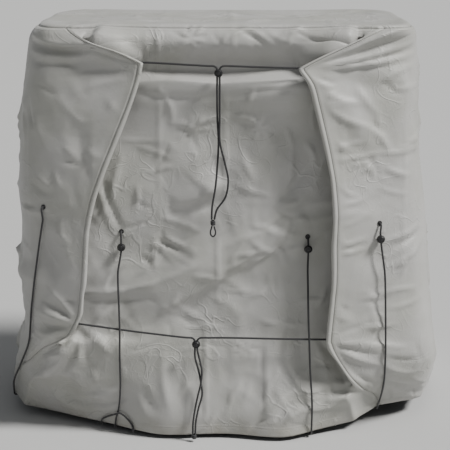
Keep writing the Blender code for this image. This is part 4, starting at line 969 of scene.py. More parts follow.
def row_heights():
    """The heights of the walls' rows: closer together at the hem's stitching and the rounded top."""
    hem = [0.0, 0.004, 0.009, 0.014, 0.018, 0.0205, 0.022, 0.0235, 0.025, 0.0265, 0.029, 0.033]
    body = list(np.arange(0.038, ROUND_START, ROW_STEP))
    top = list(np.linspace(ROUND_START, TOP_SEAM, int((TOP_SEAM - ROUND_START) / ROUND_STEP) + 1))
    return hem + body + top


def uneven(points, scale, seed):
    """Smooth noise of about one unit over an array of points."""
    shift = Vector((seed * 3.7, seed * 1.9, seed * 5.3))
    flat = points.reshape(-1, 3) * scale
    made = [noise.noise(Vector(p) + shift) for p in flat.tolist()]
    return np.array(made).reshape(points.shape[:-1])


def billows(points):
    """Soft rises and sharp-edged dents, as thin stiff cloth takes when it hangs slack."""
    warp = uneven(points, 5.0, 1)[..., None] * np.array([0.05, 0.05, 0.08])
    soft = uneven(points + warp, 5.5, 2) * 0.0060
    patchy = smooth(uneven(points, 4.5, 5) * 1.6 + 0.30)
    broken = 0.22 - np.abs(uneven(points + warp * 1.5, 11.0, 3))
    fine = 0.20 - np.abs(uneven(points + warp, 24.0, 4))
    return soft + (broken * 0.0060 + fine * 0.0024) * patchy


def along_seam(shell, column, across):
    """How far each point near a seam stands from it, round the cover."""
    count = shell.shape[1]
    away = np.full(shell.shape[:2], 1.0)
    away[:, column] = 0.0
    for way in (1, -1):
        total = np.zeros(shell.shape[0])
        for step in range(1, across):
            here, before = (column + way * step) % count, (column + way * (step - 1)) % count
            total = total + np.linalg.norm(shell[:, here] - shell[:, before], axis=1)
            away[:, here] = np.minimum(away[:, here], total)
    return away


SEAMS = {
    "left": ("seam", -1),
    "right": ("seam", 1),
    "rear_right": ("rear_seam", 1),
    "rear_left": ("rear_seam", -1),
}
ALL_MIDDLE_CREASES = MIDDLE_CREASES + rays(MIDDLE_STARS, 21)
ALL_RIGHT_CREASES = RIGHT_FLAP_CREASES + rays(RIGHT_STARS, 22)

FACES = [
    (ALL_MIDDLE_CREASES, MIDDLE_CRINKLES, ("pleat_out", -1), ("pleat_out", 1), "x", 11),
    (LEFT_FLAP_CREASES, LEFT_FLAP_CRINKLES, ("corner", -1), ("seam", -1), "x", 12),
    (ALL_RIGHT_CREASES, RIGHT_FLAP_CRINKLES, ("seam", 1), ("corner", 1), "x", 13),
    (SIDE_CREASES + LEFT_SIDE_LOBES, SIDE_CRINKLES, ("rear_corner", -1), ("corner", -1), "y", 14),
    (SIDE_CREASES, SIDE_CRINKLES, ("corner", 1), ("rear_corner", 1), "y", 15),
]
MADE = {}


def drawcord_lines():
    """The middle lines of the four drawcord strands, as they are made."""
    for name, left_run, right_run, toggle, line, left_tail, right_tail, _ in DRAWCORDS:
        for side, way, run, tail in (("left", -1, left_run, left_tail), ("right", 1, right_run, right_tail)):
            yield name, side, curve_points(run + toggle_pair(toggle, line, way) + tail, 0.0013)


def behind_cords(shell):
    """The slack middle pressed back wherever a drawcord or its toggle would otherwise cut into it."""
    marks = [(line[::3], CORD / 2) for _, _, line in drawcord_lines()]
    marks += [(np.array([place]), TOGGLE / 2) for place in (UPPER_TOGGLE, LOWER_TOGGLE)]
    marks += [(np.array([top - Vector((0.0, 0.0, KNOT_LENGTH / 2))]), KNOT_WIDTH / 2 + 0.001)
              for top in (UPPER_KNOT, LOWER_KNOT)]
    inside = np.minimum(ROUND.columns - ROUND.fold_start["pleat_out", -1],
                        ROUND.fold_start["pleat_out", 1] - ROUND.columns) > 0.0
    face = shell[:, inside]
    for line, radius in marks:
        for x, y, height in line:
            away = np.hypot(face[..., 0] - x, face[..., 2] - height)
            behind = y + radius + CORD_GAP + CLOTH - np.maximum(0.0, away - radius * 0.6) * 0.9
            close = away < 0.03
            face[..., 1] = np.where(close, np.maximum(face[..., 1], behind), face[..., 1])
    shell[:, inside] = face
    return shell


def wall_shell():
    """The walls as one sheet of points, rows by columns, with every fold and crease in it."""
    if "shell" in MADE:
        return MADE["shell"]
    shell = np.array([ring(height) for height in row_heights()])
    facing = outward_of(shell)
    rise = np.zeros(shell.shape[:2])
    up = shell[..., 2]
    for creases, crinkles, first, last, axis, seed in FACES:
        weight = np.broadcast_to(ROUND.weight(first, last, 0.8), up.shape)
        if first == ("pleat_out", -1):
            feet = smooth((0.285 - up) / 0.03) * ROUND.weight(("seam", -1), ("seam", 1), 0.8)
            weight = np.maximum(weight, feet)
        used = weight.max(axis=0) > 0
        across = shell[..., 0] if axis == "x" else shell[..., 1]
        made = creases + scattered(crinkles, seed)
        rise[:, used] += weight[:, used] * crease_rise(made, across[:, used], up[:, used])
    rear = (shell[..., 1] > DEPTH - 0.03) * smooth((0.44 - np.abs(shell[..., 0])) / 0.05)
    rise += rear * crease_rise(REAR_CREASES + scattered(REAR_CRINKLES, 16), shell[..., 0], up)
    folded = ROUND.weight(("seam", -1), ("pleat_out", -1)) + ROUND.weight(("pleat_out", 1), ("seam", 1))
    pleats = 1.0 - 0.7 * folded
    calm = 0.35 + 0.65 * smooth((TOP_SEAM - up) / 0.05)
    rise += billows(shell) * pleats * calm
    for place in SEAMS.values():
        away = along_seam(shell, ROUND.start[place], 14)
        rise *= 0.45 + 0.55 * smooth(away / 0.030)
        rise += 0.0005 * np.exp(-(((away - 0.005) / 0.003) ** 2)) - 0.0012 * np.exp(-((away / 0.0024) ** 2))
    low = np.array(row_heights())[:, None]
    pucker = uneven(shell * np.array([1.0, 1.0, 0.0]), 60.0, 6)
    rise += 0.0007 * smooth((0.0262 - low) / 0.0016)
    rise -= (0.0005 + 0.0004 * pucker) * np.exp(-(((low - 0.022) / 0.0018) ** 2))
    rise -= 0.0010 * np.exp(-(((TOP_SEAM - low) / 0.0035) ** 2))
    MADE["facing"] = facing
    MADE["shell"] = behind_cords(shell + facing * rise[..., None])
    return MADE["shell"]


def lengths(points):
    """The distance along a line of points, from its first."""
    steps = np.linalg.norm(np.diff(points, axis=0), axis=1)
    return np.concatenate([[0.0], np.cumsum(steps)])


def drawn_in(border, inner, gap):
    """A border line of points moved in, square to itself, by half a gap."""
    along = np.gradient(border, axis=0)
    along /= np.linalg.norm(along, axis=1, keepdims=True)
    inward = inner - border
    inward = inward - along * np.sum(inward * along, axis=1, keepdims=True)
    return border + inward / np.linalg.norm(inward, axis=1, keepdims=True) * gap / 2


def link(name, mesh):
    """An object in the scene for a mesh that code has made."""
    made = bpy.data.objects.new(name, mesh)
    bpy.context.scene.collection.objects.link(made)
    return made


def select_only(*objects):
    """Leaves these objects selected, the first of them active."""
    for item in bpy.context.selected_objects:
        item.select_set(False)
    for item in objects:
        item.select_set(True)
    bpy.context.view_layer.objects.active = objects[0]


def sheet_of_cloth(name, points, faces, uvs, thickness, finish):
    """A panel of cloth: its sheet of points with UVs in metres, thickened by Solidify."""
    mesh = bpy.data.meshes.new(name)
    mesh.from_pydata([tuple(Vector(p) + STAND) for p in points], [], faces)
    mesh.polygons.foreach_set("use_smooth", [True] * len(mesh.polygons))
    layer = mesh.uv_layers.new(name="cloth")
    corners = np.empty(len(mesh.loops), np.int32)
    mesh.loops.foreach_get("vertex_index", corners)
    layer.data.foreach_set("uv", np.asarray(uvs, np.float32)[corners].ravel())
    mesh.materials.append(finish)
    panel = link(name, mesh)
    solid = panel.modifiers.new("thickness", "SOLIDIFY")
    solid.thickness = thickness
    solid.offset = 0.0
    select_only(panel)
    bpy.ops.object.modifier_apply(modifier=solid.name)
    return panel


def wall_panel(name, first, last, thickness, finish):
    """A panel of wall between two seams, from the hem to the top seam; returns it and its grid of points."""
    shell = wall_shell()
    count = shell.shape[1]
    span = (last - first) % count
    columns = [(first + k) % count for k in range(span + 1)]
    grid = shell[:, columns].copy()
    grid[:, 0] = drawn_in(grid[:, 0], grid[:, 1], SEAM_GAP)
    grid[:, -1] = drawn_in(grid[:, -1], grid[:, -2], SEAM_GAP)
    grid[-1] = drawn_in(grid[-1], grid[-2], SEAM_GAP)
    rows = grid.shape[0]
    around = lengths(grid[rows // 2])
    upward = lengths(grid.mean(axis=1))
    uvs = np.stack(np.meshgrid(around, upward), axis=-1).reshape(-1, 2)
    faces = []
    for i in range(rows - 1):
        for k in range(span):
            at = i * (span + 1) + k
            faces.append((at, at + 1, at + span + 2, at + span + 1))
    panel = sheet_of_cloth(name, grid.reshape(-1, 3), faces, uvs, thickness, finish)
    return panel, grid


def grid_size(grid):
    """A panel's flat size, taken from its own rows and columns of points, and its area."""
    widths = np.linalg.norm(np.diff(grid, axis=1), axis=2).sum(axis=1)
    tall = np.linalg.norm(np.diff(grid, axis=0), axis=2).sum(axis=0)
    one = np.cross(grid[1:, :-1] - grid[:-1, :-1], grid[:-1, 1:] - grid[:-1, :-1])
    two = np.cross(grid[:-1, 1:] - grid[1:, 1:], grid[1:, :-1] - grid[1:, 1:])
    area = (np.linalg.norm(one, axis=2).sum() + np.linalg.norm(two, axis=2).sum()) / 2
    return float(widths.max()), float(tall.max()), float(area)


def top_height(x, y, border):
    """The height of the top sheet, level but for soft folds and a fall to the rear right."""
    fall = 0.010 * (y / DEPTH) * smooth(x / 0.8 + 0.5)
    inside = smooth(border / 0.10)
    creases = crease_rise(TOP_CREASES + scattered(TOP_CRINKLES, 17), x, y) * smooth(border / 0.03)
    plan = np.stack([x, y, np.full(x.shape, HEIGHT)], axis=-1)
    slack = (billows(plan) + creases) * (0.15 + 0.85 * smooth(border / 0.05))
    return HEIGHT - fall * inside + fold_rise(TOP_FOLDS, x, y) * inside + slack


def top_panel(name, thickness, finish):
    """The top sheet: its rim follows the walls' top row, and its inside is nearly level."""
    rim = wall_shell()[-1]
    count = len(rim)
    middle = np.array([0.0, DEPTH / 2])
    along = np.roll(rim, -1, axis=0) - np.roll(rim, 1, axis=0)
    inward = np.stack([-along[:, 1], along[:, 0]], axis=1)
    inward /= np.linalg.norm(inward, axis=1, keepdims=True)
    inward *= np.sign(np.sum(inward * (middle - rim[:, :2]), axis=1, keepdims=True))
    rings = [rim + np.concatenate([inward * SEAM_GAP / 2, np.full((count, 1), SEAM_GAP / 4)], axis=1)]
    shrinks = (0.012, 0.030, 0.055)
    for shrink in shrinks:
        flat = rim[:, :2] + (middle - rim[:, :2]) * shrink
        away = np.linalg.norm(flat - rim[:, :2], axis=1)
        height = top_height(flat[:, 0], flat[:, 1], away)
        height = rim[:, 2] + (height - rim[:, 2]) * smooth(away / 0.020 + 0.35)
        rings.append(np.column_stack([flat, height]))
    points = [Vector(p) for p in rings[-1][:, :2].tolist()]
    inner = rings[-1][:, :2]
    box_low, box_high = inner.min(axis=0), inner.max(axis=0)
    for x in np.arange(box_low[0], box_high[0], TOP_STEP):
        for y in np.arange(box_low[1], box_high[1], TOP_STEP):
            away = np.linalg.norm(inner - (x, y), axis=1)
            k = int(away.argmin())
            outside = np.dot(inner[k] - (x, y), middle - inner[k]) > 0
            if away[k] > TOP_STEP * 0.7 and not outside:
                points.append(Vector((x, y)))
    border = [(i, (i + 1) % count) for i in range(count)]
    flat, _, faces, _, _, _ = delaunay_2d_cdt(points, border, [], 1, 1e-6)
    flat = np.array([tuple(p) for p in flat])
    away = np.array([np.linalg.norm(rim[:, :2] - p, axis=1).min() for p in flat])
    heights = top_height(flat[:, 0], flat[:, 1], away)
    heights[:count] = rings[-1][:, 2]
    sheet = np.column_stack([flat, heights])
    all_points = np.concatenate([*rings[:-1], sheet])
    start = count * (len(rings) - 1)
    all_faces = [tuple(start + i for i in face) for face in faces]
    for ring_number in range(len(rings) - 1):
        low = ring_number * count
        for k in range(count):
            after = (k + 1) % count
            all_faces.append((low + k, low + after, low + count + after, low + count + k))
    uvs = all_points[:, :2]
    mesh = bpy.data.meshes.new("rough_top")
    mesh.from_pydata([tuple(p) for p in all_points], [], all_faces)
    bm = bmesh.new()
    bm.from_mesh(mesh)
    bmesh.ops.recalc_face_normals(bm, faces=bm.faces)
    bm.verts.ensure_lookup_table()
    turn = sum(face.normal.z for face in bm.faces) < 0
    tidy = [tuple(v.index for v in (reversed(face.verts) if turn else face.verts)) for face in bm.faces]
    area = sum(face.calc_area() for face in bm.faces)
    bm.free()
    bpy.data.meshes.remove(mesh)
    return sheet_of_cloth(name, all_points, tidy, uvs, thickness, finish), area


def surface_of(*objects):
    """What a ray can meet: the surfaces of some finished pieces, in the cover's own space."""
    points, faces = [], []
    for item in objects:
        start = len(points)
        points += [v.co - STAND for v in item.data.vertices]
        faces += [tuple(start + i for i in polygon.vertices) for polygon in item.data.polygons]
    return BVHTree.FromPolygons(points, faces)


def front_of(tree, x, height, radius):
    """The depth of whatever stands foremost within a small circle, or None past its edge."""
    found = []
    for eighth in range(9 if radius else 1):
        angle = math.radians(45 * eighth)
        reach = radius if eighth else 0.0
        start = Vector((x + math.cos(angle) * reach, -1.0, height + math.sin(angle) * reach))
        hit = tree.ray_cast(start, Vector((0.0, 1.0, 0.0)))[0]
        if hit is not None:
            found.append(hit.y)
    return min(found) if found else None


def curve_points(stops, step):
    """Points a small step apart on a smooth curve through the stops."""
    ends = [stops[0] * 2 - stops[1]] + list(stops) + [stops[-1] * 2 - stops[-2]]
    fine = []
    for i in range(1, len(ends) - 2):
        count = max(4, int((ends[i + 1] - ends[i]).length / 0.0006))
        corners = [np.array(ends[i + k]) for k in (-1, 0, 1, 2)]
        fine.append(through(*corners, np.arange(count) / count))
    fine = np.concatenate(fine + [np.array([stops[-1]])])
    along = lengths(fine)
    count = max(2, int(round(along[-1] / step)) + 1)
    wanted = np.linspace(0.0, along[-1], count)
    return np.column_stack([np.interp(wanted, along, fine[:, k]) for k in range(3)])


def tight_over(touches):
    """Places along a cord pulled straight over its foremost places, as a taut string lies."""
    kept = []
    for s, y in touches:
        while len(kept) > 1:
            (s0, y0), (s1, y1) = kept[-2:]
            if (y1 - y0) * (s - s0) < (y - y0) * (s1 - s0):
                break
            kept.pop()
        kept.append((s, y))
    return kept


def laid(cloth, tree, stops):
    """A cord's middle line over whatever the tree holds, straight across the hollows between."""
    flat = curve_points([Vector((stop.x, stop.height, stop.off)) for stop in stops], 0.004)
    away = CORD / 2 + CORD_GAP
    touches, last = [], None
    for i, (x, height, off) in enumerate(flat.tolist()):
        seen = front_of(cloth, x, height, 0.0)
        if seen is None or (last is not None and seen > last + 0.05):
            break
        last = seen
        touches.append((i, front_of(tree, x, height, away) - away - off))
    string = tight_over(touches)
    line = []
    for i in range(touches[-1][0] + 1):
        k = 0
        while k < len(string) - 2 and string[k + 1][0] < i:
            k += 1
        (s0, y0), (s1, y1) = string[k], string[k + 1]
        line.append(Vector((flat[i][0], y0 + (y1 - y0) * (i - s0) / (s1 - s0), flat[i][1])))
    return line[:-1:3] + line[-1:]


def cloth_at(tree, x, height):
    """The point of the cloth's outer face seen at a place from the front, and the way it faces."""
    hit, normal, _, _ = tree.ray_cast(Vector((x, -1.0, height)), Vector((0.0, 1.0, 0.0)))
    return hit, normal if normal.y < 0 else -normal


def out_of_eyelet(tree, x, height):
    """A cord's first points: straight out of the cloth and over, on its way down."""
    hit, normal = cloth_at(tree, x, height)
    return [
        hit + normal * 0.0007,
        hit + normal * 0.0045 + Vector((0.0, 0.0, -0.0006)),
        hit + normal * 0.0080 + Vector((0.0, 0.0, -0.0040)),
    ]


def under_hem(tree, line, inward):
    """A cord's line carried on round under the hem and up against its inside."""
    end = line[-1].copy()
    front = front_of(tree, end.x, end.z, 0.0)
    while front_of(tree, end.x, end.z - 0.0005, 0.0) is not None:
        below = front_of(tree, end.x, end.z - 0.0005, 0.0)
        if below > front + 0.03:
            break
        front = below
        end.z -= 0.0005
    inward = Vector(inward).normalized()
    shape = ((0.0012, -0.0040), (0.0060, -0.0062), (0.0110, -0.0045), (0.0140, 0.0005), (0.0150, 0.0090))
    return line + [end + inward * away + Vector((0.0, 0.0, up)) for away, up in shape]


def toggle_pair(toggle, line_height, side):
    """The points that bring a strand from its run down into the toggle, and out below it."""
    points = []
    for step in range(5):
        angle = math.radians(22.5 * step)
        across = STRAND_SIDE + BEND * (1 - math.sin(angle))
        drop = BEND * (1 - math.cos(angle))
        points.append(Vector((toggle.x + side * across, toggle.y, line_height - drop)))
    for drop in (0.0, 0.5, 0.7):
        points.append(Vector((toggle.x + side * STRAND_SIDE, toggle.y, toggle.z - TOGGLE * drop)))
    return points


def at_height(points, height):
    """Where a cord passes a height on its way down, and its direction there."""
    for a, b in zip(points, points[1:]):
        if a[2] >= height >= b[2] and a[2] > b[2]:
            t = (a[2] - height) / (a[2] - b[2])
            return Vector(a).lerp(Vector(b), t), Vector(b - a).normalized()
    raise ValueError("the cord does not pass that height")


def braided_tube(name, points, diameter, finish, sides=16, weave=0.00016):
    """A braided cord along closely spaced points, with its crossing strands raised and its ends shut."""
    points = np.asarray(points, float)
    tangents = np.gradient(points, axis=0)
    tangents /= np.linalg.norm(tangents, axis=1, keepdims=True)
    side = Vector(tangents[0]).orthogonal().normalized()
    along = lengths(points)
    verts, uvs = [], []
    for i, (p, t) in enumerate(zip(points, tangents)):
        t = Vector(t)
        side = (side - t * side.dot(t)).normalized()
        up = t.cross(side)
        for k in range(sides):
            turn = 2 * math.pi * k / sides
            strand = max(
                math.sin(turn * 4 + along[i] * 2 * math.pi / 0.0052),
                math.sin(turn * 4 - along[i] * 2 * math.pi / 0.0052 + 1.0),
            )
            reach = diameter / 2 - weave + weave * strand
            verts.append(Vector(p) + side * math.cos(turn) * reach + up * math.sin(turn) * reach + STAND)
            uvs.append((k / sides, along[i]))
    faces, corner_uvs = [], []
    for i in range(len(points) - 1):
        for k in range(sides):
            after = (k + 1) % sides
            faces.append((i * sides + k, i * sides + after, (i + 1) * sides + after, (i + 1) * sides + k))
            u0, u1 = k / sides, (k + 1) / sides
            corner_uvs += [(u0, along[i]), (u1, along[i]), (u1, along[i + 1]), (u0, along[i + 1])]
    for start, outward in ((0, -1), (len(points) - 1, 1)):
        tip = len(verts)
        verts.append(Vector(points[start]) + Vector(tangents[start]) * outward * diameter * 0.15 + STAND)
        for k in range(sides):
            edge = (start * sides + k, start * sides + (k + 1) % sides)
            faces.append((edge[0], edge[1], tip) if outward > 0 else (edge[1], edge[0], tip))
            corner_uvs += [(k / sides, along[start])] * 3
    mesh = bpy.data.meshes.new(name)
    mesh.from_pydata(verts, [], faces)
    mesh.polygons.foreach_set("use_smooth", [True] * len(mesh.polygons))
    layer = mesh.uv_layers.new(name="braid")
    layer.data.foreach_set("uv", np.array(corner_uvs, np.float32).ravel())
    mesh.materials.append(finish)
    return link(name, mesh)


def barrel_knot(name, top, finish):
    """Three and a half close turns of cord round its own strands."""
    points = []
    reach = KNOT_WIDTH / 2 - CORD / 2
    turns, drop = 3.4, KNOT_LENGTH - CORD
    steps = 90
    for k in range(steps + 1):
        t = k / steps
        turn = 2 * math.pi * turns * t + 0.6
        tuck = 1.0 - 0.55 * (float(smooth((0.06 - t) / 0.06)) + float(smooth((t - 0.94) / 0.06)))
        points.append((
            top.x + math.cos(turn) * reach * tuck,
            top.y + math.sin(turn) * reach * tuck,
            top.z - CORD / 2 - drop * t,
        ))
    return braided_tube(name, points, CORD, finish, sides=12, weave=0.0001)


def placed(item, place, direction, finish, name):
    """Turns a modelled piece's own Z along a direction, puts it in place and names it."""
    item.name = name
    item.data.name = name
    item.data.materials.clear()
    item.data.materials.append(finish)
    turn = Vector((0.0, 0.0, 1.0)).rotation_difference(direction)
    item.matrix_world = Matrix.Translation(place + STAND) @ turn.to_matrix().to_4x4()
    select_only(item)
    bpy.ops.object.transform_apply(location=True, rotation=True, scale=True)
    return item


def apply_all(item):
    """Applies an object's modifiers in their order."""
    select_only(item)
    for modifier in list(item.modifiers):
        bpy.ops.object.modifier_apply(modifier=modifier.name)


def select_faces(item, test):
    """Selects the faces of the object in edit mode whose centre and normal pass a test."""
    bpy.ops.mesh.select_mode(type="FACE")
    bm = bmesh.from_edit_mesh(item.data)
    for face in bm.faces:
        face.select_set(test(face.calc_center_median(), face.normal))
    bm.select_flush_mode()
    bmesh.update_edit_mesh(item.data)


def toggle_ball(name, place, direction, slot, finish):
    """A cord toggle: a ball with a bore along its cord and a sprung button in a ring on its front."""
    for item in bpy.context.selected_objects:
        item.select_set(False)
    bpy.ops.mesh.primitive_uv_sphere_add(
        segments=48, ring_count=32, radius=TOGGLE / 2, rotation=(math.radians(90), 0.0, 0.0)
    )
    ball = bpy.context.object
    bpy.ops.object.transform_apply(location=True, rotation=True, scale=True)
    bpy.ops.object.mode_set(mode="EDIT")
    front = -TOGGLE / 2
    select_faces(ball, lambda at, _: at.y < front * 0.80)
    bpy.ops.transform.resize(value=(1.0, 0.0, 1.0), center_override=(0.0, front * 0.86, 0.0))
    bpy.ops.mesh.inset(thickness=0.0008, use_boundary=True)
    bpy.ops.mesh.inset(thickness=0.0009, use_boundary=True)
    bpy.ops.mesh.select_mode(type="FACE")
    select_faces(ball, lambda at, normal: at.y < front * 0.84 and normal.y < -0.9
                 and 0.0036 < math.hypot(at.x, at.z) < 0.0047)
    bpy.ops.object.mode_set(mode="OBJECT")
    for vert in ball.data.vertices:
        out = math.hypot(vert.co.x, vert.co.z)
        if vert.co.y < front * 0.70 and out < 0.0052:
            groove = math.exp(-(((out - 0.0042) / 0.0005) ** 2)) * 0.0009
            dome = 0.0005 * max(0.0, 1.0 - (out / 0.0036) ** 2)
            vert.co.y += groove - dome
        vert.co.z *= 0.95
    bpy.ops.mesh.primitive_cylinder_add(vertices=32, radius=TOGGLE_BORE / 2, depth=TOGGLE * 1.4)
    cutter = bpy.context.object
    for vert in cutter.data.vertices:
        if abs(vert.co.x) > 1e-5:
            vert.co.x += math.copysign((slot - TOGGLE_BORE) / 2, vert.co.x)
    bore = ball.modifiers.new("bore", "BOOLEAN")
    bore.operation = "DIFFERENCE"
    bore.object = cutter
    edge = ball.modifiers.new("edge", "BEVEL")
    edge.width = 0.0004
    edge.segments = 2
    edge.limit_method = "ANGLE"
    edge.angle_limit = math.radians(50)
    apply_all(ball)
    bpy.data.objects.remove(cutter)
    select_only(ball)
    bpy.ops.object.shade_smooth_by_angle(angle=math.radians(40))
    return placed(ball, place, direction, finish, name)


def eyelet_ring(name, place, direction, finish):
    """An eyelet: a flat ring with rounded edges round the hole that the cord comes out of."""
    for item in bpy.context.selected_objects:
        item.select_set(False)
    bpy.ops.mesh.primitive_cylinder_add(vertices=40, radius=EYELET / 2, depth=EYELET_THICK)
    ring_piece = bpy.context.object
    bpy.ops.object.mode_set(mode="EDIT")
    select_faces(ring_piece, lambda _, normal: abs(normal.z) > 0.9)
    bpy.ops.mesh.inset(thickness=(EYELET - EYELET_HOLE) / 2, use_individual=True)
    bpy.ops.mesh.bridge_edge_loops()
    bpy.ops.object.mode_set(mode="OBJECT")
    edge = ring_piece.modifiers.new("edge", "BEVEL")
    edge.width = 0.0008
    edge.segments = 3
    edge.limit_method = "ANGLE"
    edge.angle_limit = math.radians(50)
    apply_all(ring_piece)
    select_only(ring_piece)
    bpy.ops.object.shade_smooth_by_angle(angle=math.radians(40))
    lift = direction.normalized() * (EYELET_THICK / 2 + 0.0002)
    return placed(ring_piece, place + lift, direction, finish, name)


def sewn_line(name, lines, finish, pitch=0.0042):
    """Stitches along lines on the cloth: each line is its points and the way the cloth faces there."""
    verts, faces = [], []
    for points, facing in lines:
        along = lengths(points)
        count = int(along[-1] / pitch)
        for k in range(count):
            s = (k + 0.5) * pitch
            centre = np.array([np.interp(s, along, points[:, j]) for j in range(3)])
            ahead = np.array([np.interp(s + 0.001, along, points[:, j]) for j in range(3)]) - centre
            normal = np.array([np.interp(s, along, facing[:, j]) for j in range(3)])
            ahead /= max(np.linalg.norm(ahead), 1e-9)
            normal -= ahead * np.dot(normal, ahead)
            normal /= max(np.linalg.norm(normal), 1e-9)
            across = np.cross(normal, ahead)
            start = len(verts)
            for up, long, wide in ((0.0, 0.0015, 0.00035), (0.00042, 0.0011, 0.00020)):
                base = centre + normal * (CLOTH / 2 - 0.0001 + up)
                for a, b in ((-1, -1), (1, -1), (1, 1), (-1, 1)):
                    verts.append(Vector(base + ahead * a * long + across * b * wide) + STAND)
            faces += [
                (start, start + 3, start + 2, start + 1),
                (start + 4, start + 5, start + 6, start + 7),
            ]
            for k4 in range(4):
                after = (k4 + 1) % 4
                faces.append((start + k4, start + after, start + 4 + after, start + 4 + k4))
    mesh = bpy.data.meshes.new(name)
    mesh.from_pydata(verts, [], faces)
    mesh.materials.append(finish)
    return link(name, mesh)


def seam_line(column, away, side):
    """A line down the walls beside a seam, a little way from it, from the top seam to the hem."""
    shell, facing = wall_shell(), MADE["facing"]
    count = shell.shape[1]
    points, normals = [], []
    for row in range(2, shell.shape[0] - 2, 2):
        here, travelled, k = shell[row, column], 0.0, column
        while travelled < away:
            k = (k + side) % count
            step = np.linalg.norm(shell[row, k] - here)
            if travelled + step >= away:
                t = (away - travelled) / step
                points.append(here + (shell[row, k] - here) * t)
                normals.append(facing[row, k])
            travelled += step
            here = shell[row, k]
    return np.array(points), np.array(normals)


def hem_line(first, last):
    """The line of a panel's hem stitching, between two seams."""
    shell, facing = wall_shell(), MADE["facing"]
    count = shell.shape[1]
    row = row_heights().index(0.022)
    columns = [(first + k) % count for k in range(2, (last - first) % count - 1)]
    return shell[row, columns], facing[row, columns]


def rim_line(first, last):
    """The line of stitching under the top seam, between two wall seams."""
    shell, facing = wall_shell(), MADE["facing"]
    count = shell.shape[1]
    columns = [(first + k) % count for k in range(2, (last - first) % count - 1)]
    return shell[-3, columns], facing[-3, columns]


class Socket:
    """A socket of a material's nodes that Python's own arithmetic works on."""

    def __init__(self, nodes, socket):
        self.nodes = nodes
        self.socket = socket

    def maths(self, operation, *values):
        numbers = dict(enumerate(values))
        return self.nodes.add("ShaderNodeMath", {"operation": operation}, numbers)

    def __add__(self, other):
        return self.maths("ADD", self, other)

    def __radd__(self, other):
        return self.maths("ADD", other, self)

    def __sub__(self, other):
        return self.maths("SUBTRACT", self, other)

    def __rsub__(self, other):
        return self.maths("SUBTRACT", other, self)

    def __mul__(self, other):
        return self.maths("MULTIPLY", self, other)

    def __rmul__(self, other):
        return self.maths("MULTIPLY", other, self)

    def __truediv__(self, other):
        return self.maths("DIVIDE", self, other)

    def __abs__(self):
        return self.maths("ABSOLUTE", self)

    def wave(self):
        return self.maths("SINE", self)

    def larger(self, other):
        return self.maths("MAXIMUM", self, other)

    def eased(self, low, high, start=0.0, end=1.0):
        """Start below low, end above high, eased between."""
        return self.nodes.add(
            "ShaderNodeMapRange",
            {"interpolation_type": "SMOOTHSTEP"},
            {"Value": self, "From Min": low, "From Max": high, "To Min": start, "To Max": end},
        )


class Nodes:
    """The nodes of one material."""

    def __init__(self, name):
        self.material = bpy.data.materials.new(name)
        self.material.use_nodes = True
        self.tree = self.material.node_tree
        self.shader = self.tree.nodes["Principled BSDF"]

    def add(self, kind, settings=None, sockets=None, output=0):
        """A node of any type: its settings first, then the values or links of its sockets."""
        made = self.tree.nodes.new(kind)
        for name, value in (settings or {}).items():
            if name == "stops":
                ramp = made.color_ramp
                while len(ramp.elements) < len(value):
                    ramp.elements.new(1.0)
                for element, (place, colour) in zip(ramp.elements, value):
                    element.position = place
                    element.color = colour
            else:
                setattr(made, name, value)
        for name, value in (sockets or {}).items():
            self.feed(made.inputs[name], value)
        return Socket(self, made.outputs[output])

    def feed(self, target, value):
        """Links a socket, or sets its own value."""
        if isinstance(value, Socket):
            self.tree.links.new(value.socket, target)
        else:
            target.default_value = value

    def blend(self, share, one, two):
        """One colour turning into another as the share goes from nought to one."""
        made = self.tree.nodes.new("ShaderNodeMix")
        made.data_type = "RGBA"
        self.feed(made.inputs[0], share)
        self.feed(made.inputs[6], one)
        self.feed(made.inputs[7], two)
        return Socket(self, made.outputs[2])

    def noise(self, place, scale, detail=2.0, roughness=0.5):
        sizes = {"Vector": place, "Scale": scale, "Detail": detail, "Roughness": roughness}
        return self.add("ShaderNodeTexNoise", {}, sizes)

    def bump(self, height, distance, strength=1.0, under=None):
        sizes = {"Height": height, "Distance": distance, "Strength": strength}
        if under is not None:
            sizes["Normal"] = under
        return self.add("ShaderNodeBump", {}, sizes)

    def axes(self, vector):
        return [self.add("ShaderNodeSeparateXYZ", {}, {"Vector": vector}, k) for k in range(3)]

    def set(self, **values):
        """Sets or links the shader's own sockets, named with underscores for spaces."""
        for name, value in values.items():
            self.feed(self.shader.inputs[name.replace("_", " ")], value)
        return self.material


def rgb(colour):
    return (*colour, 1.0)


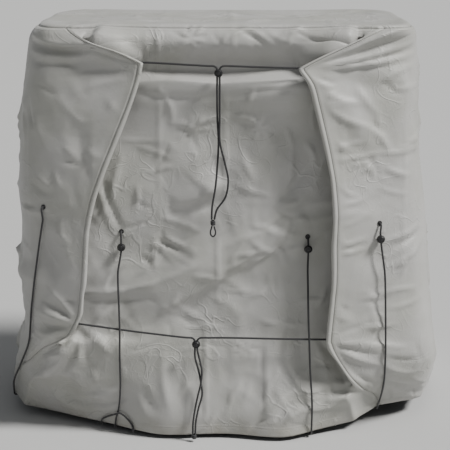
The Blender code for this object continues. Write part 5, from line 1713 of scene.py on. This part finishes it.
def cloth_finish(name, sizes):
    """Coated nylon: a fine weave, a soft gloss, crushed lines, and darker, browner patches towards the hem.
    """
    nodes = Nodes(name)
    uv = nodes.add("ShaderNodeUVMap", {"uv_map": "cloth"})
    here = nodes.add("ShaderNodeTexCoord", {}, {}, 3)
    u, v, _ = nodes.axes(uv)
    _, _, height = nodes.axes(here)
    turn = 2 * math.pi / sizes.weave
    warp = (u * turn).wave()
    weft = (v * turn).wave()
    weave = (warp * weft) * 0.5 + (warp * warp).larger(weft * weft) * 0.3
    patches = nodes.noise(here, 6.0, 3.0, 0.55)
    mottle = nodes.noise(here, 45.0, 4.0, 0.6)
    patchy = nodes.noise(here, 4.2, 2.0, 0.5).eased(0.42, 0.62)
    wide = nodes.add("ShaderNodeTexNoise", {}, {
        "Vector": here, "Scale": 13.0, "Detail": 1.0, "Roughness": 0.5, "Distortion": 0.9,
    })
    small = nodes.add("ShaderNodeTexNoise", {}, {
        "Vector": here, "Scale": 34.0, "Detail": 1.0, "Roughness": 0.5, "Distortion": 1.2,
    })
    lines = abs(wide - 0.5).eased(0.0, 0.035, 1.0, 0.0) * patchy
    fine_lines = abs(small - 0.5).eased(0.0, 0.05, 1.0, 0.0) * patchy
    colour = nodes.blend(patches.eased(0.35, 0.68), rgb(sizes.colour), rgb(sizes.shade_colour))
    colour = nodes.blend(mottle.eased(0.55, 0.80, 0.0, 0.16), colour, rgb(sizes.worn_colour))
    colour = nodes.blend(lines * 0.12, colour, rgb(sizes.worn_colour))
    # Darker, browner and rougher in patches towards the hem.
    low = nodes.noise(here, 14.0, 4.0, 0.6).eased(0.30, 0.72) * height.eased(-0.985, -0.925, 1.0, 0.0)
    colour = nodes.blend(low * 0.42, colour, rgb(sizes.near_hem_colour))
    normal = nodes.bump(weave, 0.00010, 0.55)
    normal = nodes.bump(nodes.noise(here, 120.0, 3.0, 0.55), 0.0012, 0.30, normal)
    normal = nodes.bump(lines, 0.0016, 0.60, normal)
    normal = nodes.bump(fine_lines, 0.0007, 0.50, normal)
    gloss = 0.40 + patches * 0.14 + mottle * 0.10 + low * 0.20
    return nodes.set(
        Base_Color=colour, Roughness=gloss, Normal=normal,
        Sheen_Weight=0.12, Sheen_Roughness=0.45, Specular_IOR_Level=0.55,
    )


def thread_finish(name, sizes):
    """Sewing thread, a shade darker than the cloth."""
    nodes = Nodes(name)
    here = nodes.add("ShaderNodeTexCoord", {}, {}, 3)
    grain = nodes.noise(here, 900.0, 2.0, 0.6)
    colour = nodes.blend(grain.eased(0.35, 0.65), rgb(sizes.thread_colour), rgb(sizes.shade_colour))
    return nodes.set(Base_Color=colour, Roughness=0.62 + grain * 0.1, Normal=nodes.bump(grain, 0.0001, 0.4))


def cord_finish(name, sizes):
    """Black braided cord: crossing strands with painted shade in the gaps between them, and fine fibres
    painted lighter where they catch the light.
    """
    nodes = Nodes(name)
    uv = nodes.add("ShaderNodeUVMap", {"uv_map": "braid"})
    u, v, _ = nodes.axes(uv)
    turn, along = u * (2 * math.pi * 4), v * (2 * math.pi / 0.0052)
    one, two = (turn + along).wave(), (turn - along + 1.0).wave()
    braid = one.larger(two)
    fibre = nodes.noise(nodes.add("ShaderNodeCombineXYZ", {}, {"X": u * 3.0, "Y": v * 160.0}), 9.0, 4.0, 0.6)
    # Painted shade: the gaps between the braid's raised strands are coloured darker.
    colour = nodes.blend(braid.eased(0.2, 1.0), rgb(sizes.strand_gap_shade_colour), rgb(sizes.colour))
    # Painted highlight: lighter streaks where loose fibres catch the light.
    colour = nodes.blend(fibre.eased(0.55, 0.8, 0.0, 0.5), colour, rgb(sizes.fibre_glint_colour))
    normal = nodes.bump(fibre, 0.0003, 0.5, nodes.bump(braid, 0.0004, 0.8))
    return nodes.set(Base_Color=colour, Roughness=0.72 - braid * 0.12, Normal=normal, Sheen_Weight=0.25)


def plastic_finish(name, sizes):
    """Black moulded plastic with fine grain and rubbed edges."""
    nodes = Nodes(name)
    here = nodes.add("ShaderNodeTexCoord", {}, {}, 3)
    grain = nodes.noise(here, 1400.0, 3.0, 0.6)
    rub = nodes.noise(here, 260.0, 3.0, 0.5)
    colour = nodes.blend(rub.eased(0.50, 0.75, 0.0, 0.6), rgb(sizes.plastic_colour), rgb(sizes.rubbed_colour))
    return nodes.set(Base_Color=colour, Roughness=0.30 + rub * 0.16, Normal=nodes.bump(grain, 0.00008, 0.35))


class HeaterCoverCloth(bpy.types.PropertyGroup):
    thickness: bpy.props.FloatProperty(
        name="Thickness", description="Thickness of the panels' cloth", default=CLOTH,
        min=0.0005, max=0.004, precision=4, subtype="DISTANCE", unit="LENGTH",
    )
    weave: bpy.props.FloatProperty(
        name="Weave", description="Width of two threads of the weave", default=0.0011,
        min=0.0002, max=0.01, precision=4, subtype="DISTANCE", unit="LENGTH",
    )
    stitch: bpy.props.FloatProperty(
        name="Stitch", description="Distance from one stitch to the next", default=0.0042,
        min=0.002, max=0.01, precision=4, subtype="DISTANCE", unit="LENGTH",
    )
    colour: bpy.props.FloatVectorProperty(
        name="Cloth", description="Colour of the cloth", default=(0.415, 0.410, 0.395),
        min=0.0, max=1.0, size=3, subtype="COLOR",
    )
    shade_colour: bpy.props.FloatVectorProperty(
        name="Shade", description="Colour of the cloth's darker patches", default=(0.365, 0.364, 0.335),
        min=0.0, max=1.0, size=3, subtype="COLOR",
    )
    worn_colour: bpy.props.FloatVectorProperty(
        name="Worn", description="Colour where the coating is crushed or rubbed", default=(0.50, 0.50, 0.485),
        min=0.0, max=1.0, size=3, subtype="COLOR",
    )
    # The colour that the cloth darkens to, in patches, towards the hem.
    near_hem_colour: bpy.props.FloatVectorProperty(
        name="Dust", description="Colour of the dust near the hem", default=(0.25, 0.23, 0.17),
        min=0.0, max=1.0, size=3, subtype="COLOR",
    )
    thread_colour: bpy.props.FloatVectorProperty(
        name="Thread", description="Colour of the sewing thread", default=(0.33, 0.315, 0.28),
        min=0.0, max=1.0, size=3, subtype="COLOR",
    )


class HeaterCoverCords(bpy.types.PropertyGroup):
    diameter: bpy.props.FloatProperty(
        name="Diameter", description="Diameter of the cords", default=CORD,
        min=0.002, max=0.01, precision=4, subtype="DISTANCE", unit="LENGTH",
    )
    colour: bpy.props.FloatVectorProperty(
        name="Strands", description="Colour of the braid's raised strands", default=(0.020, 0.020, 0.022),
        min=0.0, max=1.0, size=3, subtype="COLOR",
    )
    # Painted shade: the darker colour painted into the gaps between the braid's strands.
    strand_gap_shade_colour: bpy.props.FloatVectorProperty(
        name="Between", description="Colour between the strands", default=(0.006, 0.006, 0.007),
        min=0.0, max=1.0, size=3, subtype="COLOR",
    )
    # Loose fibres: their glints of light are painted as this lighter colour.
    fibre_glint_colour: bpy.props.FloatVectorProperty(
        name="Fibres", description="Colour of loose fibres", default=(0.055, 0.054, 0.055),
        min=0.0, max=1.0, size=3, subtype="COLOR",
    )
    plastic_colour: bpy.props.FloatVectorProperty(
        name="Plastic", description="Colour of the toggles and eyelets", default=(0.012, 0.012, 0.013),
        min=0.0, max=1.0, size=3, subtype="COLOR",
    )
    rubbed_colour: bpy.props.FloatVectorProperty(
        name="Rubbed", description="Colour where the plastic is rubbed", default=(0.035, 0.035, 0.037),
        min=0.0, max=1.0, size=3, subtype="COLOR",
    )


class HeaterCoverStage(bpy.types.PropertyGroup):
    floor_colour: bpy.props.FloatVectorProperty(
        name="Floor", description="Colour of the plain floor", default=(0.50, 0.50, 0.495),
        min=0.0, max=1.0, size=3, subtype="COLOR",
    )
    key_strength: bpy.props.FloatProperty(
        name="Key light", description="Strength of the soft light from the upper right", default=5.2,
        min=0.0, max=20.0,
    )
    sky: bpy.props.FloatProperty(
        name="Sky", description="Strength of the even light from all round", default=0.24, min=0.0, max=5.0,
    )


def put_on(piece, nodes):
    """Has a piece ride with the cover and stand for its CAD nodes."""
    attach(piece, "root")
    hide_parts(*nodes)
    return piece


def trim(piece, slot_name):
    """Has an added piece, such as stitching, ride with the cover."""
    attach(piece, "root")
    return piece


WALLS_OF = [
    ("front", "panel_front", "left", "right"),
    ("right", "panel_right", "right", "rear_right"),
    ("back", "panel_back", "rear_right", "rear_left"),
    ("left", "panel_left", "rear_left", "left"),
]


class HEATERCOVER_OT_walls(bpy.types.Operator):
    """Make the four wall panels, each with its hem, stitching and creases"""

    bl_idname = "heatercover.walls"
    bl_label = "Wall panels"

    def execute(self, context):
        sizes = context.scene.heater_cover_cloth
        thread = thread_finish("wall_thread", sizes)
        for side, node, first, last in WALLS_OF:
            start, end = ROUND.start[SEAMS[first]], ROUND.start[SEAMS[last]]
            finish = cloth_finish(side + "_cloth", sizes)
            panel, grid = wall_panel(side + "_panel", start, end, sizes.thickness, finish)
            lines = [hem_line(start, end), rim_line(start, end)]
            lines.append(seam_line(start, 0.0055, 1))
            if side != "front":
                lines.append(seam_line(end, 0.0055, -1))
            stitches = sewn_line(side + "_stitching", lines, thread, sizes.stitch)
            put_on(panel, [node])
            trim(stitches, node)
            width, tall, area = grid_size(grid)
            MADE[side] = panel
        return {"FINISHED"}


class HEATERCOVER_OT_top(bpy.types.Operator):
    """Make the top panel, which lies level inside the rounded edge of the walls"""

    bl_idname = "heatercover.top"
    bl_label = "Top panel"

    def execute(self, context):
        sizes = context.scene.heater_cover_cloth
        panel, area = top_panel("top_panel_cloth", sizes.thickness, cloth_finish("top_cloth", sizes))
        put_on(panel, ["panel_top"])
        rim = wall_shell()[-1]
        wide, deep = rim[:, 0].max() - rim[:, 0].min(), rim[:, 1].max() - rim[:, 1].min()
        flat = (round(float(wide) + 0.02, 3), round(float(deep) + 0.02, 3))
        min(area, flat[0] * flat[1])
        MADE["top"] = panel
        return {"FINISHED"}


class HEATERCOVER_OT_drawcords(bpy.types.Operator):
    """Make the two drawcords across the front, with their toggles, knots and end loop"""

    bl_idname = "heatercover.drawcords"
    bl_label = "Drawcords"

    def execute(self, context):
        sizes = context.scene.heater_cover_cords
        cord, plastic = cord_finish("drawcord_braid", sizes), plastic_finish("drawcord_plastic", sizes)
        for name, left_run, right_run, toggle, line, left_tail, right_tail, knot_top in DRAWCORDS:
            knot = put_on(barrel_knot(name + "_knot_wraps", knot_top, cord), [name + "_knot"])
            ball = toggle_ball(name + "_toggle_ball", toggle, UPRIGHT, TOGGLE_SLOT, plastic)
            put_on(ball, [name + "_toggle"])
            with_knot = [knot]
            if name == "upper":
                thin = sizes.diameter * 0.8
                loop = braided_tube("upper_loop", curve_points(LOOP, 0.0012), thin, cord)
                with_knot.append(put_on(loop, ["upper_end_loop"]))
            strands = (("left", -1, left_run, left_tail), ("right", 1, right_run, right_tail))
            for side, way, run, tail in strands:
                stops = run + toggle_pair(toggle, line, way) + tail
                points = curve_points(stops, 0.0013)
                strand = braided_tube(f"{name}_cord_{side}", points, sizes.diameter, cord)
                put_on(strand, [f"{name}_drawcord_{side}"])
                MADE[strand.name] = strand
                others = with_knot + [ball] if side == "left" else with_knot[:1]
                float(lengths(points)[-1])
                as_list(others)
        return {"FINISHED"}


HEM_CORDS = [
    ("left_outer", (-0.4225, 0.575), LEFT_OUTER, (0.8, 0.6, 0.0), None),
    ("right_outer", (0.3680, 0.540), RIGHT_OUTER, (-0.5, 0.8, 0.0), 0.504),
    ("left_inner", (-0.2405, 0.514), LEFT_INNER, INWARD, 0.478),
    ("right_inner", (0.2010, 0.503), RIGHT_INNER, INWARD, 0.475),
]


class HEATERCOVER_OT_hem_cords(bpy.types.Operator):
    """Make the four cords from their eyelets to the hem, their toggles, and the left one's bridle"""

    bl_idname = "heatercover.hem_cords"
    bl_label = "Cords to the hem"

    def execute(self, context):
        sizes = context.scene.heater_cover_cords
        cord, plastic = cord_finish("hem_cord_braid", sizes), plastic_finish("hem_cord_plastic", sizes)
        walls = [MADE[side] for side in ("front", "right", "back", "left")]
        cloth = surface_of(*walls)
        crossed = surface_of(*walls, MADE["lower_cord_left"], MADE["lower_cord_right"])
        for name, eyelet, stops, inward, toggle_height in HEM_CORDS:
            head = out_of_eyelet(cloth, *eyelet)
            over = laid(cloth, crossed, stops)
            points = curve_points(head + under_hem(cloth, over, inward), 0.0013)
            piece = braided_tube(name + "_line", points, sizes.diameter, cord)
            put_on(piece, [name + "_cord"])
            hit, normal = cloth_at(cloth, *eyelet)
            fitting = eyelet_ring(name + "_eyelet", hit, normal, plastic)
            others = [put_on(fitting, [name + "_cord_eyelet"])]
            if toggle_height is not None:
                place, direction = at_height(points, toggle_height)
                ball = toggle_ball(name + "_toggle", place, -direction, TOGGLE_BORE, plastic)
                others.append(put_on(ball, [name + "_cord_toggle"]))
            MADE[name] = piece
            float(lengths(points)[-1])
        crossed = surface_of(*walls, MADE["left_inner"])
        left = under_hem(cloth, laid(cloth, crossed, LEFT_LEG), INWARD)
        right = under_hem(cloth, laid(cloth, crossed, RIGHT_LEG), INWARD)
        points = curve_points(left[:0:-1] + right, 0.0013)
        bridle = put_on(braided_tube("left_bridle", points, sizes.diameter, cord), ["left_inner_bridle"])
        float(lengths(points)[-1])
        return {"FINISHED"}


class HEATERCOVER_OT_stage(bpy.types.Operator):
    """Make the plain floor, the soft lights and the camera at the photograph's angle"""

    bl_idname = "heatercover.stage"
    bl_label = "Stage"

    def execute(self, context):
        sizes = context.scene.heater_cover_stage
        for item in bpy.context.selected_objects:
            item.select_set(False)
        bpy.ops.mesh.primitive_plane_add(size=80.0, location=(0.0, 0.0, STAND.z - 0.0002))
        floor = context.object
        floor.name = "floor"
        nodes = Nodes("floor_paint")
        here = nodes.add("ShaderNodeTexCoord", {}, {}, 3)
        grain = nodes.noise(here, 3.0, 3.0, 0.5)
        darker = rgb([c * 0.9 for c in sizes.floor_colour])
        colour = nodes.blend(grain * 0.06, rgb(sizes.floor_colour), darker)
        floor.data.materials.append(nodes.set(Base_Color=colour, Roughness=0.85))
        floor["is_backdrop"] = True
        data = bpy.data.lights.new("key", "SUN")
        data.energy = sizes.key_strength
        data.angle = math.radians(KEY_SPREAD)
        data.color = (1.0, 0.99, 0.97)
        key = bpy.data.objects.new("key", data)
        bpy.context.scene.collection.objects.link(key)
        key.location = KEY_PLACE
        key.rotation_euler = KEY_DIRECTION.to_track_quat("-Z", "Y").to_euler()
        world = bpy.data.worlds.new("sky")
        world.use_nodes = True
        background = world.node_tree.nodes["Background"]
        background.inputs["Color"].default_value = (0.94, 0.97, 1.0, 1.0)
        background.inputs["Strength"].default_value = sizes.sky
        context.scene.world = world
        data = bpy.data.cameras.new("camera")
        data.lens = CAMERA_LENS
        data.sensor_width = 36.0
        camera = bpy.data.objects.new("camera", data)
        bpy.context.scene.collection.objects.link(camera)
        camera.location = CAMERA_PLACE
        camera.rotation_euler = (math.radians(CAMERA_TILT), 0.0, 0.0)
        context.scene.camera = camera
        return {"FINISHED"}


class HEATERCOVER_PT_panel(bpy.types.Panel):
    """The pieces of the heater cover, in the order that they are made"""

    bl_idname = "HEATERCOVER_PT_panel"
    bl_label = "Pool heater cover"
    bl_space_type = "VIEW_3D"
    bl_region_type = "UI"
    bl_category = "Heater cover"

    def draw(self, context):
        layout = self.layout
        for title, group in (
            ("Cloth", context.scene.heater_cover_cloth),
            ("Cords", context.scene.heater_cover_cords),
            ("Stage", context.scene.heater_cover_stage),
        ):
            layout.label(text=title)
            for name in group.bl_rna.properties.keys():
                if name not in ("rna_type", "name"):
                    layout.prop(group, name)
        for operator in OPERATORS:
            layout.operator(operator.bl_idname)


OPERATORS = [
    HEATERCOVER_OT_stage,
    HEATERCOVER_OT_drawcords,
    HEATERCOVER_OT_walls,
    HEATERCOVER_OT_top,
    HEATERCOVER_OT_hem_cords,
]
CLASSES = [HeaterCoverCloth, HeaterCoverCords, HeaterCoverStage, *OPERATORS, HEATERCOVER_PT_panel]


def register():
    for item in CLASSES:
        bpy.utils.register_class(item)
    bpy.types.Scene.heater_cover_cloth = bpy.props.PointerProperty(type=HeaterCoverCloth)
    bpy.types.Scene.heater_cover_cords = bpy.props.PointerProperty(type=HeaterCoverCords)
    bpy.types.Scene.heater_cover_stage = bpy.props.PointerProperty(type=HeaterCoverStage)


def unregister():
    del bpy.types.Scene.heater_cover_stage
    del bpy.types.Scene.heater_cover_cords
    del bpy.types.Scene.heater_cover_cloth
    for item in reversed(CLASSES):
        bpy.utils.unregister_class(item)


def main():
    register()
    bpy.ops.heatercover.stage()
    bpy.ops.heatercover.drawcords()
    bpy.ops.heatercover.walls()
    bpy.ops.heatercover.top()
    bpy.ops.heatercover.hem_cords()
    boxes = {"cad": CAD_BOX, "visual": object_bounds()}
    plain = {name: [list(corner) for corner in box] for name, box in boxes.items()}


if __name__ == "__main__":
    main()
